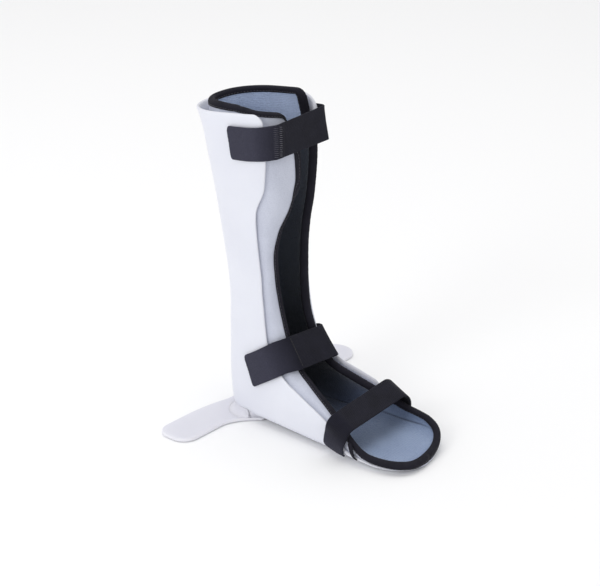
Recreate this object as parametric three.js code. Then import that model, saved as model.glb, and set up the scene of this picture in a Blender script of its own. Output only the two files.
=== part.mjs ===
// Derotation ankle foot orthosis: a rigid shell with a bar under the heel, a soft liner and three straps.
// Millimetres, +Z up, toes toward -Y. Helper coordinates: f runs forward, x runs sideways, z runs up.
import * as THREE from 'three';
import { mergeVertices } from 'three/addons/utils/BufferGeometryUtils.js';

const SHELL_WALL = 3;
const LINER_WALL = 5;
const FIT = 0.3;

// The liner stands above the shell at the calf rim and draws in from it; its near flap dips toward the shin.
const LINER_STAND = 6;
const FLAP_DIP = 20;
const FLAP_DIP_COLUMNS = 9;
const FLAP_DIP_RUN = 60;
const LINER_TUCK = 8;
const LINER_TUCK_RUN = 80;

// The shell flares away from the liner at the back of the rim and has rounded wing corners.
const RIM_FLARE = 3;
const RIM_FLARE_RUN = 26;
const NEAR_WING_CORNER = 12;
const FAR_WING_CORNER = 34;

// Plan of the toe end: a blunt oval from the ball of the foot forward.
const TOE_START = 163;
const TOE_LENGTH = 52;
const TOE_POWER = 2.8;
const TOE_SKEW = 0.17;
const TOE_DROP = 2.5;
const TOE_DEPTH = 24;
const TOE_FALL = 15;
const TOE_SOLE_POWER = 3.4;
const TOE_TIP_POWER = 2.2;
const TOE_TOP_POWER = 2.4;
const TOE_SPREAD = 1.5;
const TOE_STEPS = [9, 18, 34, 48, 60, 70, 79, 86, 89.3];
const NEAR_TOE_ANGLES = [75, 72, 70, 72, 76, 81, 85, 85, 85];
const FAR_TOE_ANGLES = [104, 103, 100, 95, 91, 88, 86, 85, 85];
const SHELL_TOE_ANGLES = [58, 52, 38, 22, 12, 8, 8, 8, 8];
const SHELL_TOE_STEP = 3;
const SHELL_TOE_END = TOE_STEPS[SHELL_TOE_STEP];

// The edge tape folds over the liner; its reach is how far the fold comes in from the edge.
const TAPE_WALL = 1.2;
const TAPE_FIT = 0.8;
const TAPE_REACH = 5.5;
const TAPE_RIM_REACH = 5.4;
const TAPE_FOLD = 1.2 * TAPE_REACH;
const TAPE_CORNER = TAPE_REACH + 2;

const STRAP_WALL = 2.4;
const STRAP_LIFT = 1.7;
const RIVET_RADIUS = 5;
const RIVET_HEIGHT = 1.6;

const BAR_THICK = 3.5;
const BAR_NEAR = -125;
const BAR_FAR = 159;
const BAR_BACK = -41;
const BAR_FRONT = 1.5;
const BAR_NEAR_CORNER = 17;
const BAR_FAR_CORNER = 20.5;
const BAR_FLARE = 24;
const BAR_FLARE_START = 34;
const BAR_FLARE_END = 72;
const BAR_WAIST = 8;
const BAR_WAIST_START = 22;
const BAR_WAIST_END = 80;

// Spacing of the cuts down the leg, closer where the wing corners round off, and of the columns round it.
const WING_DROPS = [1, 4, 8, 12];
const STATION_STEP = 11;
const SHELL_COLUMNS = 16;
const FLAP_COLUMNS = 4;

// One row per section from the calf rim to the ball of the foot. back and front are the ends of the section
// in side view, half is its half width, wide the share of its depth at the widest line. The last four columns
// are the edges of shell and liner, measured along the outline from the middle of the front.
const SECTION_COLUMNS = [
  'backF', 'backZ', 'frontF', 'frontZ', 'half', 'wide', 'backPower', 'frontPower',
  'shellNear', 'shellFar', 'linerNear', 'linerFar',
];
const SECTIONS = [
  [-69.5, 327.5, 46.0, 343, 49.0, 0.52, 2.3, 5.5, 47, 44, 8, 54],
  [-62, 299, 46.5, 315, 48.5, 0.52, 2.3, 5.5, 46, 50, 0, 53],
  [-56, 274, 47.0, 288, 47.5, 0.52, 2.3, 5.0, 44, 56, -4, 38],
  [-50, 249, 46.5, 261, 46.0, 0.52, 2.3, 4.6, 44.5, 57, -5, 36],
  [-44.5, 223, 45.0, 233, 44.5, 0.52, 2.3, 4.2, 52, 55, 4, 32],
  [-39.6, 198, 42.0, 207, 42.5, 0.52, 2.3, 3.8, 48, 53, 19, 29],
  [-35.4, 174, 40.5, 182, 41.0, 0.52, 2.3, 3.6, 44, 52, 23, 28],
  [-32, 149, 41.5, 157, 40.0, 0.52, 2.3, 3.4, 42, 50, 22, 25],
  [-30.7, 123, 44.0, 133, 39.5, 0.52, 2.3, 3.2, 42, 48, 20, 22],
  [-31.2, 93, 48.5, 113, 40.0, 0.50, 2.3, 3.0, 43.5, 46, 19, 20],
  [-30, 58, 55.0, 97, 41.5, 0.46, 2.4, 2.8, 46, 45, 20, 20],
  [-23, 22, 61.0, 84, 43.0, 0.42, 3.0, 2.6, 45.5, 41, 22, 23],
  [-6, 4.9, 68.0, 75, 44.5, 0.38, 4.8, 2.5, 44.5, 37, 21.5, 25],
  [35, 4.0, 78.5, 66.5, 45.5, 0.36, 4.8, 2.4, 44, 36, 23, 28],
  [80, 1.9, 98.0, 60, 46.5, 0.36, 4.2, 2.4, 47.5, 39, 30, 31],
  [118, 0, 126.0, 52, 48.5, 0.38, 3.6, 2.4, 54.5, 51, 41, 40],
  [150, 0, 153.0, 44, 53.0, 0.44, 3.4, 2.4, 73, 72, 57, 57],
];

// Straps in side view, from the end on the wall to the bend over the front: the edge toward the knee or heel,
// the edge toward the toe, and the sideways place of the station, or null where it lies on the wall.
const STRAP_COLUMNS = ['upperF', 'upperZ', 'lowerF', 'lowerZ', 'x'];
const STRAPS = {
  calf_strap: [
    [-3, 318.2, 2, 284.4, null],
    [18, 321, 21, 286.5, null],
    [32, 323, 34, 288.5, null],
    [39, 324.4, 40, 289.2, null],
    [43, 325, 43.6, 289.6, null],
    [46.8, 325.4, 46.8, 290, 33],
  ],
  ankle_strap: [
    [9, 73, 23.5, 42.3, null],
    [20.5, 80, 36.5, 50.5, null],
    [31, 87, 48.5, 58, null],
    [42, 94.5, 59, 64.5, null],
    [51.6, 99, 70.6, 69, 25],
  ],
  toe_strap: [
    [119.5, 13, 146.4, 4.8, null],
    [120.2, 18, 147, 9.2, null],
    [121.5, 26, 148, 16, null],
    [125, 38, 150.5, 26, 51.5],
    [128, 44, 152, 32, 49.5],
    [130, 46.5, 153, 34.5, 45],
  ],
};
const STRAP_CHORD_STEPS = 4;
const WALL_SEARCH_STEPS = 40;

// Slack at the far bend: how far the first stations past the front move at their upper and lower edges.
const FAR_BENDS = {
  calf_strap: [[[1.5, 0, 2], [8, -2, 1]]],
  ankle_strap: [[[0, -1, -4], [1, -4, -2]], [[0, 0, -4], [0, 0, -1]], [[0, 0, -2], [0, 0, 0]]],
  toe_strap: [[[-9, 3, 4], [-6, 2, 4]], [[-4, 1.5, 3], [-3, 1, 2]]],
};

// The tape's free end, turned down on the near wall.
const TAPE_TAIL = [
  [152, 24, 157, 25, null],
  [155.5, 15, 160.5, 16, null],
  [157.7, 10.5, 161.5, 11.5, null],
  [160, 6, 162.5, 7, null],
];

const COLOURS = {
  shell: 0xeaedf6,
  derotation_bar: 0xe2e3ec,
  liner: 0xb9bccd,
  binding: 0x26242c,
  binding_tail: 0x26242c,
  strap: 0x3a3944,
  rivet: 0xc9cbd2,
};

const power = (value, exponent) => Math.pow(Math.abs(value), 2 / exponent);
const radians = (degrees) => THREE.MathUtils.degToRad(degrees);
const clamp01 = (value) => THREE.MathUtils.clamp(value, 0, 1);

function named(columns, row) {
  return Object.fromEntries(columns.map((name, index) => [name, row[index]]));
}

// A section's point at a wrap angle from the back (0) round to the front (180), on side -1 or +1.
function sectionPoint(section, angle, side, inset) {
  const run = section.frontF - section.backF;
  const rise = section.frontZ - section.backZ;
  const depth = Math.hypot(run, rise);
  const toWidest = section.wide * depth;
  const atBack = angle <= 90;
  const exponent = atBack ? section.backPower : section.frontPower;
  const reach = (atBack ? toWidest : depth - toWidest) - inset;
  const cosine = Math.cos(radians(angle));
  const along = (toWidest - Math.sign(cosine) * reach * power(cosine, exponent)) / depth;
  const across = (section.half - inset * section.tight) * power(Math.sin(radians(angle)), exponent);
  const forward = section.backF + run * along - section.tip * (inset + TOE_SKEW * side * across);
  return new THREE.Vector3(side * across, -forward, section.backZ + rise * along);
}

const ANGLES = Array.from({ length: 181 }, (_, degree) => degree);

function arcLengths(section) {
  const lengths = [0];
  let previous = sectionPoint(section, 0, 1, 0);
  for (const angle of ANGLES.slice(1)) {
    const point = sectionPoint(section, angle, 1, 0);
    lengths.push(lengths.at(-1) + point.distanceTo(previous));
    previous = point;
  }
  return lengths;
}

function lookUp(value, from, to) {
  if (value <= from[0]) return to[0];
  let index = 1;
  while (index < from.length - 1 && from[index] < value) index += 1;
  const share = (value - from[index - 1]) / (from[index] - from[index - 1]);
  return to[index - 1] + (to[index] - to[index - 1]) * Math.min(share, 1);
}

function toeSections(ball) {
  return TOE_STEPS.map((step, index) => {
    const tip = power(Math.sin(radians(step)), TOE_POWER);
    const tight = power(Math.cos(radians(step)), TOE_POWER);
    const forward = TOE_START + TOE_LENGTH * tip;
    const past = clamp01((step - SHELL_TOE_END) / (90 - SHELL_TOE_END));
    const bottom = -TOE_DROP * past;
    const depth = TOE_DEPTH + TOE_FALL * (1 - tip);
    const section = {
      backF: forward, backZ: bottom, frontF: forward, frontZ: bottom + depth,
      half: (ball.half + TOE_SPREAD) * tight, wide: 0.5, frontPower: TOE_TOP_POWER, tip, tight,
      backPower: TOE_SOLE_POWER + (TOE_TIP_POWER - TOE_SOLE_POWER) * past,
    };
    const lengths = arcLengths(section);
    const fromFront = (angles) => lengths.at(-1) - lookUp(angles[index], ANGLES, lengths);
    const sole = fromFront(SHELL_TOE_ANGLES);
    return {
      ...section, shellNear: sole, shellFar: sole,
      linerNear: fromFront(NEAR_TOE_ANGLES), linerFar: fromFront(FAR_TOE_ANGLES),
    };
  });
}

const legSections = SECTIONS.map((row) => ({ ...named(SECTION_COLUMNS, row), tip: 0, tight: 1 }));
const sections = [...legSections, ...toeSections(legSections.at(-1))];
const places = [0];
for (let i = 1; i < sections.length; i += 1) {
  const [a, b] = [sections[i - 1], sections[i]];
  const backStep = Math.hypot(b.backF - a.backF, b.backZ - a.backZ);
  const frontStep = Math.hypot(b.frontF - a.frontF, b.frontZ - a.frontZ);
  places.push(places[i - 1] + (backStep + frontStep) / 2);
}
const BALL_PLACE = places[legSections.length - 1];
const TOE_PLACE = places.at(-1);
const SHELL_END = places[legSections.length + SHELL_TOE_STEP];

// Monotone cubic slopes, so a column never overshoots its rows.
function monotoneSlopes(values) {
  const steps = places.slice(1).map((place, i) => place - places[i]);
  const rates = steps.map((step, i) => (values[i + 1] - values[i]) / step);
  const slopes = values.map((_, i) => {
    if (i === 0) return rates[0];
    if (i === values.length - 1) return rates.at(-1);
    if (rates[i - 1] * rates[i] <= 0) return 0;
    const before = 2 * steps[i] + steps[i - 1];
    const after = steps[i] + 2 * steps[i - 1];
    return (before + after) / (before / rates[i - 1] + after / rates[i]);
  });
  return slopes;
}

const columnNames = Object.keys(sections[0]);
const columns = Object.fromEntries(columnNames.map((name) => {
  const values = sections.map((section) => section[name]);
  return [name, { values, slopes: monotoneSlopes(values) }];
}));

function sectionAt(place) {
  let index = 0;
  while (index < places.length - 2 && places[index + 1] < place) index += 1;
  const step = places[index + 1] - places[index];
  const t = (place - places[index]) / step;
  const mix = ({ values, slopes }) => {
    if (t < 0) return values[0] + slopes[0] * place;
    const startWeight = (1 + 2 * t) * (1 - t) ** 2;
    const endWeight = t * t * (3 - 2 * t);
    const startSlope = t * (1 - t) ** 2 * step;
    const endSlope = t * t * (t - 1) * step;
    return values[index] * startWeight + values[index + 1] * endWeight
      + slopes[index] * startSlope + slopes[index + 1] * endSlope;
  };
  return Object.fromEntries(columnNames.map((name) => [name, mix(columns[name])]));
}

function cornerCut(distance, radius) {
  if (distance >= radius) return 0;
  return radius - Math.sqrt(radius ** 2 - (radius - distance) ** 2);
}

// A cut across the leg form. Signed arc s is 0 at the back, negative on the near side.
function cutAt(place) {
  const section = sectionAt(place);
  const lengths = arcLengths(section);
  const half = lengths.at(-1);
  const wing = (radius) => cornerCut(Math.max(place - LINER_STAND, 0), radius);
  return {
    half,
    shellNear: -(half - section.shellNear - wing(NEAR_WING_CORNER)),
    shellFar: half - section.shellFar - wing(FAR_WING_CORNER),
    linerNear: -(half - section.linerNear),
    linerFar: half - section.linerFar,
    point(arc, inset) {
      const beyond = Math.abs(arc) > half;
      const distance = beyond ? 2 * half - Math.abs(arc) : Math.abs(arc);
      const side = (arc < 0 ? -1 : 1) * (beyond ? -1 : 1);
      return sectionPoint(section, lookUp(distance, lengths, ANGLES), side, inset);
    },
    angle: (arc) => lookUp(Math.abs(arc), lengths, ANGLES),
  };
}

const lerp = THREE.MathUtils.lerp;
const evenly = (from, to, count) => Array.from({ length: count + 1 }, (_, i) => lerp(from, to, i / count));

function stations() {
  const list = [0, LINER_STAND];
  for (const drop of WING_DROPS) list.push(LINER_STAND + drop);
  const start = list.at(-1);
  const count = Math.round((BALL_PLACE - start) / STATION_STEP);
  list.push(...evenly(start, BALL_PLACE, count).slice(1));
  list.push(...places.slice(legSections.length));
  return list;
}

const STATIONS = stations();
const cuts = STATIONS.map(cutAt);

function linerArcs(cut) {
  const farFold = Math.min(cut.shellFar, cut.linerFar - TAPE_FOLD);
  const near = evenly(cut.linerNear + TAPE_REACH, cut.shellNear, FLAP_COLUMNS - 1).slice(0, -1);
  const far = evenly(farFold, cut.linerFar - TAPE_REACH, FLAP_COLUMNS - 1).slice(1);
  const middle = evenly(cut.shellNear, farFold, SHELL_COLUMNS);
  return [cut.linerNear, ...near, ...middle, ...far, cut.linerFar];
}

// The near flap's rim drops toward its free edge; the drop fades out down the leg.
function dippedPlace(place, column) {
  const share = clamp01(1 - column / FLAP_DIP_COLUMNS);
  const fade = clamp01(1 - place / FLAP_DIP_RUN);
  return place + FLAP_DIP * share * share * fade;
}

function linerPoint(place, column, inset, arcShift = 0) {
  const cut = cutAt(dippedPlace(place, column));
  const tuck = LINER_TUCK * clamp01(1 - Math.max(place, 0) / LINER_TUCK_RUN) ** 2;
  return cut.point(linerArcs(cut)[column] + arcShift, inset + tuck);
}

// Closes two matching grids of points into one solid. The grids split their quads along opposite diagonals,
// so sheets that touch are given the touching grids as a first and a first, and their facets nest.
function closedSheet(outer, inner) {
  const rows = outer.length;
  const width = outer[0].length;
  const positions = [...outer.flat(), ...inner.flat()].flatMap((p) => [p.x, p.y, p.z]);
  const out = (i, j) => i * width + j;
  const back = (i, j) => rows * width + i * width + j;
  const faces = [];
  const quad = (a, b, c, d) => faces.push(a, b, c, a, c, d);
  for (let i = 0; i < rows - 1; i += 1) {
    for (let j = 0; j < width - 1; j += 1) {
      quad(out(i, j + 1), out(i + 1, j + 1), out(i + 1, j), out(i, j));
      quad(back(i, j), back(i + 1, j), back(i + 1, j + 1), back(i, j + 1));
    }
    quad(out(i, 0), out(i + 1, 0), back(i + 1, 0), back(i, 0));
    quad(out(i, width - 1), back(i, width - 1), back(i + 1, width - 1), out(i + 1, width - 1));
  }
  for (let j = 0; j < width - 1; j += 1) {
    quad(out(0, j), back(0, j), back(0, j + 1), out(0, j + 1));
    quad(out(rows - 1, j), out(rows - 1, j + 1), back(rows - 1, j + 1), back(rows - 1, j));
  }
  return solid(positions, faces);
}

// Closes a loop of matching rings into one tube.
function closedLoop(rings) {
  const count = rings[0].length;
  const positions = rings.flat().flatMap((p) => [p.x, p.y, p.z]);
  const faces = [];
  rings.forEach((_, i) => {
    const next = (i + 1) % rings.length;
    for (let j = 0; j < count; j += 1) {
      const turn = (j + 1) % count;
      const corners = [i * count + j, next * count + j, next * count + turn, i * count + turn];
      faces.push(corners[0], corners[1], corners[2], corners[0], corners[2], corners[3]);
    }
  });
  return solid(positions, faces);
}

function signedVolume(positions, faces) {
  let total = 0;
  const corner = (index) => new THREE.Vector3().fromArray(positions, index * 3);
  for (let i = 0; i < faces.length; i += 3) {
    const [a, b, c] = [corner(faces[i]), corner(faces[i + 1]), corner(faces[i + 2])];
    total += a.dot(b.cross(c)) / 6;
  }
  return total;
}

function solid(positions, faces) {
  if (signedVolume(positions, faces) < 0) faces.reverse();
  const geometry = new THREE.BufferGeometry();
  geometry.setAttribute('position', new THREE.Float32BufferAttribute(positions, 3));
  geometry.setIndex(faces);
  return geometry;
}

function shellGeometry() {
  const first = STATIONS.indexOf(LINER_STAND);
  const last = STATIONS.indexOf(SHELL_END);
  const layer = (inset) => cuts.slice(first, last + 1).map((cut, i) => {
    const drop = STATIONS[first + i] - LINER_STAND;
    const flare = RIM_FLARE * clamp01(1 - drop / RIM_FLARE_RUN) ** 2;
    return evenly(cut.shellNear, cut.shellFar, SHELL_COLUMNS).map((arc) => {
      const atBack = Math.max(Math.cos(radians(cut.angle(arc))), 0);
      return cut.point(arc, inset - flare * atBack);
    });
  });
  return closedSheet(layer(SHELL_WALL), layer(0));
}

const LINER_OUTER = SHELL_WALL + FIT;
const LINER_INNER = LINER_OUTER + LINER_WALL;
const LINER_LAST = linerArcs(cuts[0]).length - 1;

function linerGeometry() {
  const layer = (inset) => STATIONS.map((place) => (
    Array.from({ length: LINER_LAST + 1 }, (_, column) => linerPoint(place, column, inset))
  ));
  return closedSheet(layer(LINER_OUTER), layer(LINER_INNER));
}

// A folded tape's cross section at one place: edge, beyond and within give the point at an inset on the
// liner's edge, past it and back from it.
function tapeRing(edge, beyond, within) {
  const outer = LINER_OUTER - TAPE_FIT;
  const inner = LINER_INNER + TAPE_FIT;
  return [
    within(outer), within(outer - TAPE_WALL), beyond(outer - TAPE_WALL), beyond(inner + TAPE_WALL),
    within(inner + TAPE_WALL), within(inner), edge(inner), edge(outer),
  ];
}

function bindingGeometry() {
  const past = TAPE_FIT + TAPE_WALL;
  const sideRing = (place, column, outward) => tapeRing(
    (inset) => linerPoint(place, column, inset, outward * TAPE_FIT),
    (inset) => linerPoint(place, column, inset, outward * past),
    (inset) => linerPoint(place, column, inset, -outward * TAPE_REACH),
  );
  const rimRing = (column, outward = 0) => tapeRing(
    (inset) => linerPoint(-TAPE_FIT, column, inset, outward * TAPE_FIT),
    (inset) => linerPoint(-past, column, inset, outward * past),
    (inset) => linerPoint(TAPE_RIM_REACH, column, inset, -outward * TAPE_REACH / 2),
  );
  const down = STATIONS.filter((place) => place > TAPE_CORNER);
  const near = down.map((place) => sideRing(place, 0, -1)).reverse();
  const rimColumns = Array.from({ length: LINER_LAST - 1 }, (_, i) => i + 1);
  const rim = rimColumns.map((column) => rimRing(column));
  const far = down.map((place) => sideRing(place, LINER_LAST, 1));
  return closedLoop([...near, rimRing(0, -1), ...rim, rimRing(LINER_LAST, 1), ...far]);
}

// The point of the wall at a place seen from the side, lifted off the surface.
function wallPoint(forward, up, side, lift) {
  const offPlane = (place) => {
    const section = sectionAt(place);
    const run = section.frontF - section.backF;
    const rise = section.frontZ - section.backZ;
    return run * (up - section.backZ) - rise * (forward - section.backF);
  };
  let [low, high] = [0, TOE_PLACE];
  for (let i = 0; i < WALL_SEARCH_STEPS; i += 1) {
    const middle = (low + high) / 2;
    if (offPlane(middle) < 0) low = middle;
    else high = middle;
  }
  const section = sectionAt(low);
  const depth = Math.hypot(section.frontF - section.backF, section.frontZ - section.backZ);
  const along = Math.hypot(forward - section.backF, up - section.backZ) - section.wide * depth;
  const exponent = along < 0 ? section.backPower : section.frontPower;
  const reach = along < 0 ? section.wide * depth : (1 - section.wide) * depth;
  const share = Math.min(Math.abs(along) / reach, 1);
  const across = section.half * (1 - share ** exponent) ** (1 / exponent);
  return new THREE.Vector3(side * (across + lift), -forward, up);
}

function bandLine(rows, side, lift) {
  return rows.map((row) => {
    const { upperF, upperZ, lowerF, lowerZ, x } = named(STRAP_COLUMNS, row);
    return [0, 0.5, 1].map((share) => {
      const forward = lerp(upperF, lowerF, share);
      const up = lerp(upperZ, lowerZ, share);
      if (x === null) return wallPoint(forward, up, side, lift);
      return new THREE.Vector3(side * x, -forward, up);
    });
  });
}

// Gives a strip of points a thickness along its own normals.
function thickened(strip, wall) {
  const normals = strip.map((line, i) => {
    const before = strip[Math.max(i - 1, 0)][1];
    const after = strip[Math.min(i + 1, strip.length - 1)][1];
    const along = after.clone().sub(before);
    const across = line[2].clone().sub(line[0]);
    return across.cross(along).normalize();
  });
  const raised = strip.map((line, i) => line.map((p) => p.clone().addScaledVector(normals[i], wall)));
  return { raised, normals };
}

function strap(rows, bends) {
  const near = bandLine(rows, -1, STRAP_LIFT);
  const far = bandLine(rows, 1, STRAP_LIFT).reverse();
  bends.forEach(([upper, lower], i) => far[i].forEach((point, k) => {
    point.add(new THREE.Vector3(...upper).lerp(new THREE.Vector3(...lower), k / 2));
  }));
  const chord = evenly(0, 1, STRAP_CHORD_STEPS).slice(1, -1).map((share) => (
    near.at(-1).map((point, k) => point.clone().lerp(far[0][k], share))
  ));
  const strip = [...near, ...chord, ...far];
  const { raised, normals } = thickened(strip, STRAP_WALL);
  const seat = raised.at(-2)[1].clone().addScaledVector(normals.at(-2), 2 * FIT);
  return { geometry: closedSheet(raised, strip), seat, normal: normals.at(-2) };
}

function tailGeometry() {
  const strip = bandLine(TAPE_TAIL, -1, STRAP_LIFT);
  return closedSheet(thickened(strip, TAPE_WALL).raised, strip);
}

function rivetGeometry({ seat, normal }) {
  const profile = [[0, 0], [1, 0], [1, 0.35], [0.8, 0.8], [0.4, 1], [0, 1]]
    .map(([r, h]) => new THREE.Vector2(r * RIVET_RADIUS, h * RIVET_HEIGHT));
  const geometry = new THREE.LatheGeometry(profile, 16);
  geometry.applyQuaternion(new THREE.Quaternion().setFromUnitVectors(new THREE.Vector3(0, 1, 0), normal));
  geometry.translate(seat.x, seat.y, seat.z);
  geometry.deleteAttribute('normal');
  geometry.deleteAttribute('uv');
  return mergeVertices(geometry, 1e-4);
}

// The bar's plan has rounded ends; toward the heel the front edge flares forward and the back edge draws in.
function barGeometry() {
  const swept = (side, forward, sweep, start, end) => evenly(0, 1, 6).map((share) => (
    new THREE.Vector2(side * lerp(end, start, share), -(forward + sweep * share * share))
  ));
  const front = (side) => swept(side, BAR_FRONT, BAR_FLARE, BAR_FLARE_START, BAR_FLARE_END);
  const back = (side) => swept(side, BAR_BACK, BAR_WAIST, BAR_WAIST_START, BAR_WAIST_END);
  const corner = (x, forward, radius, from) => evenly(from, from + 90, 6).map((degrees) => new THREE.Vector2(
    x + radius * Math.cos(radians(degrees)), radius * Math.sin(radians(degrees)) - forward,
  ));
  const [nearX, farX] = [BAR_NEAR + BAR_NEAR_CORNER, BAR_FAR - BAR_FAR_CORNER];
  const plan = [
    ...front(-1), ...front(1).reverse(),
    ...corner(farX, BAR_FRONT - BAR_FAR_CORNER, BAR_FAR_CORNER, -90),
    ...corner(farX, BAR_BACK + BAR_FAR_CORNER, BAR_FAR_CORNER, 0),
    ...back(1), ...back(-1).reverse(),
    ...corner(nearX, BAR_BACK + BAR_NEAR_CORNER, BAR_NEAR_CORNER, 90),
    ...corner(nearX, BAR_FRONT - BAR_NEAR_CORNER, BAR_NEAR_CORNER, 180),
  ];
  const shape = new THREE.Shape(plan);
  const geometry = new THREE.ExtrudeGeometry(shape, { depth: BAR_THICK, bevelEnabled: false });
  geometry.deleteAttribute('normal');
  geometry.deleteAttribute('uv');
  return mergeVertices(geometry, 1e-4);
}

const part = new THREE.Group();
part.name = 'derotation_ankle_foot_orthosis';

function add(name, geometry, colour, roughness, metalness = 0) {
  geometry.computeVertexNormals();
  const material = new THREE.MeshStandardMaterial({ color: colour, roughness, metalness });
  material.name = name;
  const mesh = new THREE.Mesh(geometry, material);
  mesh.name = name;
  part.add(mesh);
}

add('shell', shellGeometry(), COLOURS.shell, 0.4);
add('derotation_bar', barGeometry(), COLOURS.derotation_bar, 0.4);
add('liner', linerGeometry(), COLOURS.liner, 0.9);
add('binding', bindingGeometry(), COLOURS.binding, 0.9);
add('binding_tail', tailGeometry(), COLOURS.binding_tail, 0.9);

for (const [name, rows] of Object.entries(STRAPS)) {
  const { geometry, seat, normal } = strap(rows, FAR_BENDS[name]);
  add(name, geometry, COLOURS.strap, 0.9);
  add(name.replace('strap', 'rivet'), rivetGeometry({ seat, normal }), COLOURS.rivet, 0.3, 0.9);
}

export default part;
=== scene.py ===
import bmesh
import bpy
import numpy as np
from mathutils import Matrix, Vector


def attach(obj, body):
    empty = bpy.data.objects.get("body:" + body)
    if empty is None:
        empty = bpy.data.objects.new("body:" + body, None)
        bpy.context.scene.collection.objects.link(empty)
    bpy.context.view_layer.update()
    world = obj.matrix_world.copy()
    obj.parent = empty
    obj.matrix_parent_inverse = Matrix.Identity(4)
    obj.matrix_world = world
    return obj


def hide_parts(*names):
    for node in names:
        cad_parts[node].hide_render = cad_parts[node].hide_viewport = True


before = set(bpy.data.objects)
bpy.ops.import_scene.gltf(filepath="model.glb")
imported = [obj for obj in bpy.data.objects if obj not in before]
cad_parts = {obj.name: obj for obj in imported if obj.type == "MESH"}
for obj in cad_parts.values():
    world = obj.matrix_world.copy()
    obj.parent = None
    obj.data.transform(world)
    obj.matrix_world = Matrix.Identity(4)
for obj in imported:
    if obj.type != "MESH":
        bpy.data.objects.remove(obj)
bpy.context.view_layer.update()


# Shell: a gutter of white polypropylene sheet, drawn hot over a plaster leg, then trimmed and smoothed
# by hand. It carries the bar, the liner and the straps. All lengths below are millimetres; the form runs
# from the calf rim to the toe as a row of oval sections, and every soft piece lies on the same form.
SHELL_WALL = 3.0
SHELL_START = 6.0
SHELL_ROWS, SHELL_COLUMNS = 220, 84
RIM_FLARE, RIM_FLARE_RUN = 3.0, 26.0
FOOT_LIP_OUT, FOOT_LIP_RISE, FOOT_LIP_RUN, FOOT_LIP_FADE = 4.5, 3.0, 12.0, 14.0
FOOT_LIP_ROWS, FOOT_LIP_LATE = (12, 15), 2
NEAR_WING_CORNER, FAR_WING_CORNER = 12.0, 34.0
TRIM_STEPS, TRIM_BAND = (0, 0.12, 0.45, 0.95, 1.5), 1.4
HAND_RIPPLE, RIPPLE_FADE = 0.18, 20
RIPPLE_DOWN, RIPPLE_ROUND = (17.0, 41.0), (31.0, 23.0)
MM_PER_M, MM_PER_LAYOUT, JOIN_DISTANCE = 1000, 100, 2e-6
FORM_COLUMNS = ("back_f", "back_z", "front_f", "front_z", "half", "wide", "back_power", "front_power",
                "shell_near", "shell_far", "liner_near", "liner_far", "tip", "tight")
LEG_ROWS = (
    (-69.5, 327.5, 46.0, 343, 49.0, 0.52, 2.3, 5.5, 47, 44, 8, 54),
    (-62, 299, 46.5, 315, 48.5, 0.52, 2.3, 5.5, 46, 50, 0, 53),
    (-56, 274, 47.0, 288, 47.5, 0.52, 2.3, 5.0, 44, 56, -4, 38),
    (-50, 249, 46.5, 261, 46.0, 0.52, 2.3, 4.6, 44.5, 57, -5, 36),
    (-44.5, 223, 45.0, 233, 44.5, 0.52, 2.3, 4.2, 52, 55, 4, 32),
    (-39.6, 198, 42.0, 207, 42.5, 0.52, 2.3, 3.8, 48, 53, 19, 29),
    (-35.4, 174, 40.5, 182, 41.0, 0.52, 2.3, 3.6, 44, 52, 23, 28),
    (-32, 149, 41.5, 157, 40.0, 0.52, 2.3, 3.4, 42, 50, 22, 25),
    (-30.7, 123, 44.0, 133, 39.5, 0.52, 2.3, 3.2, 42, 48, 20, 22),
    (-31.2, 93, 48.5, 113, 40.0, 0.50, 2.3, 3.0, 43.5, 46, 19, 20),
    (-30, 58, 55.0, 97, 41.5, 0.46, 2.4, 2.8, 46, 45, 20, 20),
    (-23, 22, 61.0, 84, 43.0, 0.42, 3.0, 2.6, 45.5, 41, 22, 23),
    (-6, 4.9, 68.0, 75, 44.5, 0.38, 4.8, 2.5, 44.5, 37, 21.5, 25),
    (35, 4.0, 78.5, 66.5, 45.5, 0.36, 4.8, 2.4, 44, 36, 23, 28),
    (80, 1.9, 98.0, 60, 46.5, 0.36, 4.2, 2.4, 47.5, 39, 30, 31),
    (118, 0, 126.0, 52, 48.5, 0.38, 3.6, 2.4, 54.5, 51, 41, 40),
    (150, 0, 153.0, 44, 53.0, 0.44, 3.4, 2.4, 73, 72, 57, 57),
)
TOE_START, TOE_LENGTH, TOE_POWER, TOE_SKEW = 163.0, 52.0, 2.8, 0.17
TOE_DROP, TOE_DEPTH, TOE_FALL, TOE_HALF = 2.5, 24.0, 15.0, 54.5
TOE_SOLE_POWER, TOE_TIP_POWER, TOE_TOP_POWER, TOE_WIDEST = 3.4, 2.2, 2.4, 0.5
TOE_STEPS = (9, 18, 34, 48, 60, 70, 79, 86, 89.3)
NEAR_TOE_ANGLES = (75, 72, 70, 72, 76, 81, 85, 85, 85)
FAR_TOE_ANGLES = (104, 103, 100, 95, 91, 88, 86, 85, 85)
SHELL_TOE_ANGLES = (58, 52, 38, 22, 12, 8, 8, 8, 8)
SHELL_TOE_STEP, LAST_TOE_STEP = 48, 90
WRAP = np.arange(181.0)


def section_points(form, angle, side, inset):
    run, rise = form["front_f"] - form["back_f"], form["front_z"] - form["back_z"]
    depth = np.hypot(run, rise)
    to_widest = form["wide"] * depth
    at_back = angle <= 90
    bend = 2 / np.where(at_back, form["back_power"], form["front_power"])
    reach = np.where(at_back, to_widest, depth - to_widest) - inset
    cosine, sine = np.cos(np.radians(angle)), np.abs(np.sin(np.radians(angle)))
    along = (to_widest - np.sign(cosine) * reach * np.abs(cosine) ** bend) / depth
    across = (form["half"] - inset * form["tight"]) * sine ** bend
    forward = form["back_f"] + run * along - form["tip"] * (inset + TOE_SKEW * side * across)
    return np.stack([side * across, -forward, form["back_z"] + rise * along], axis=-1)


def way_along(points):
    """The distance run along a line of points, from the first to each of them."""
    steps = np.linalg.norm(np.diff(points, axis=0), axis=1)
    return np.concatenate([[0.0], np.cumsum(steps)])


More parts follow.
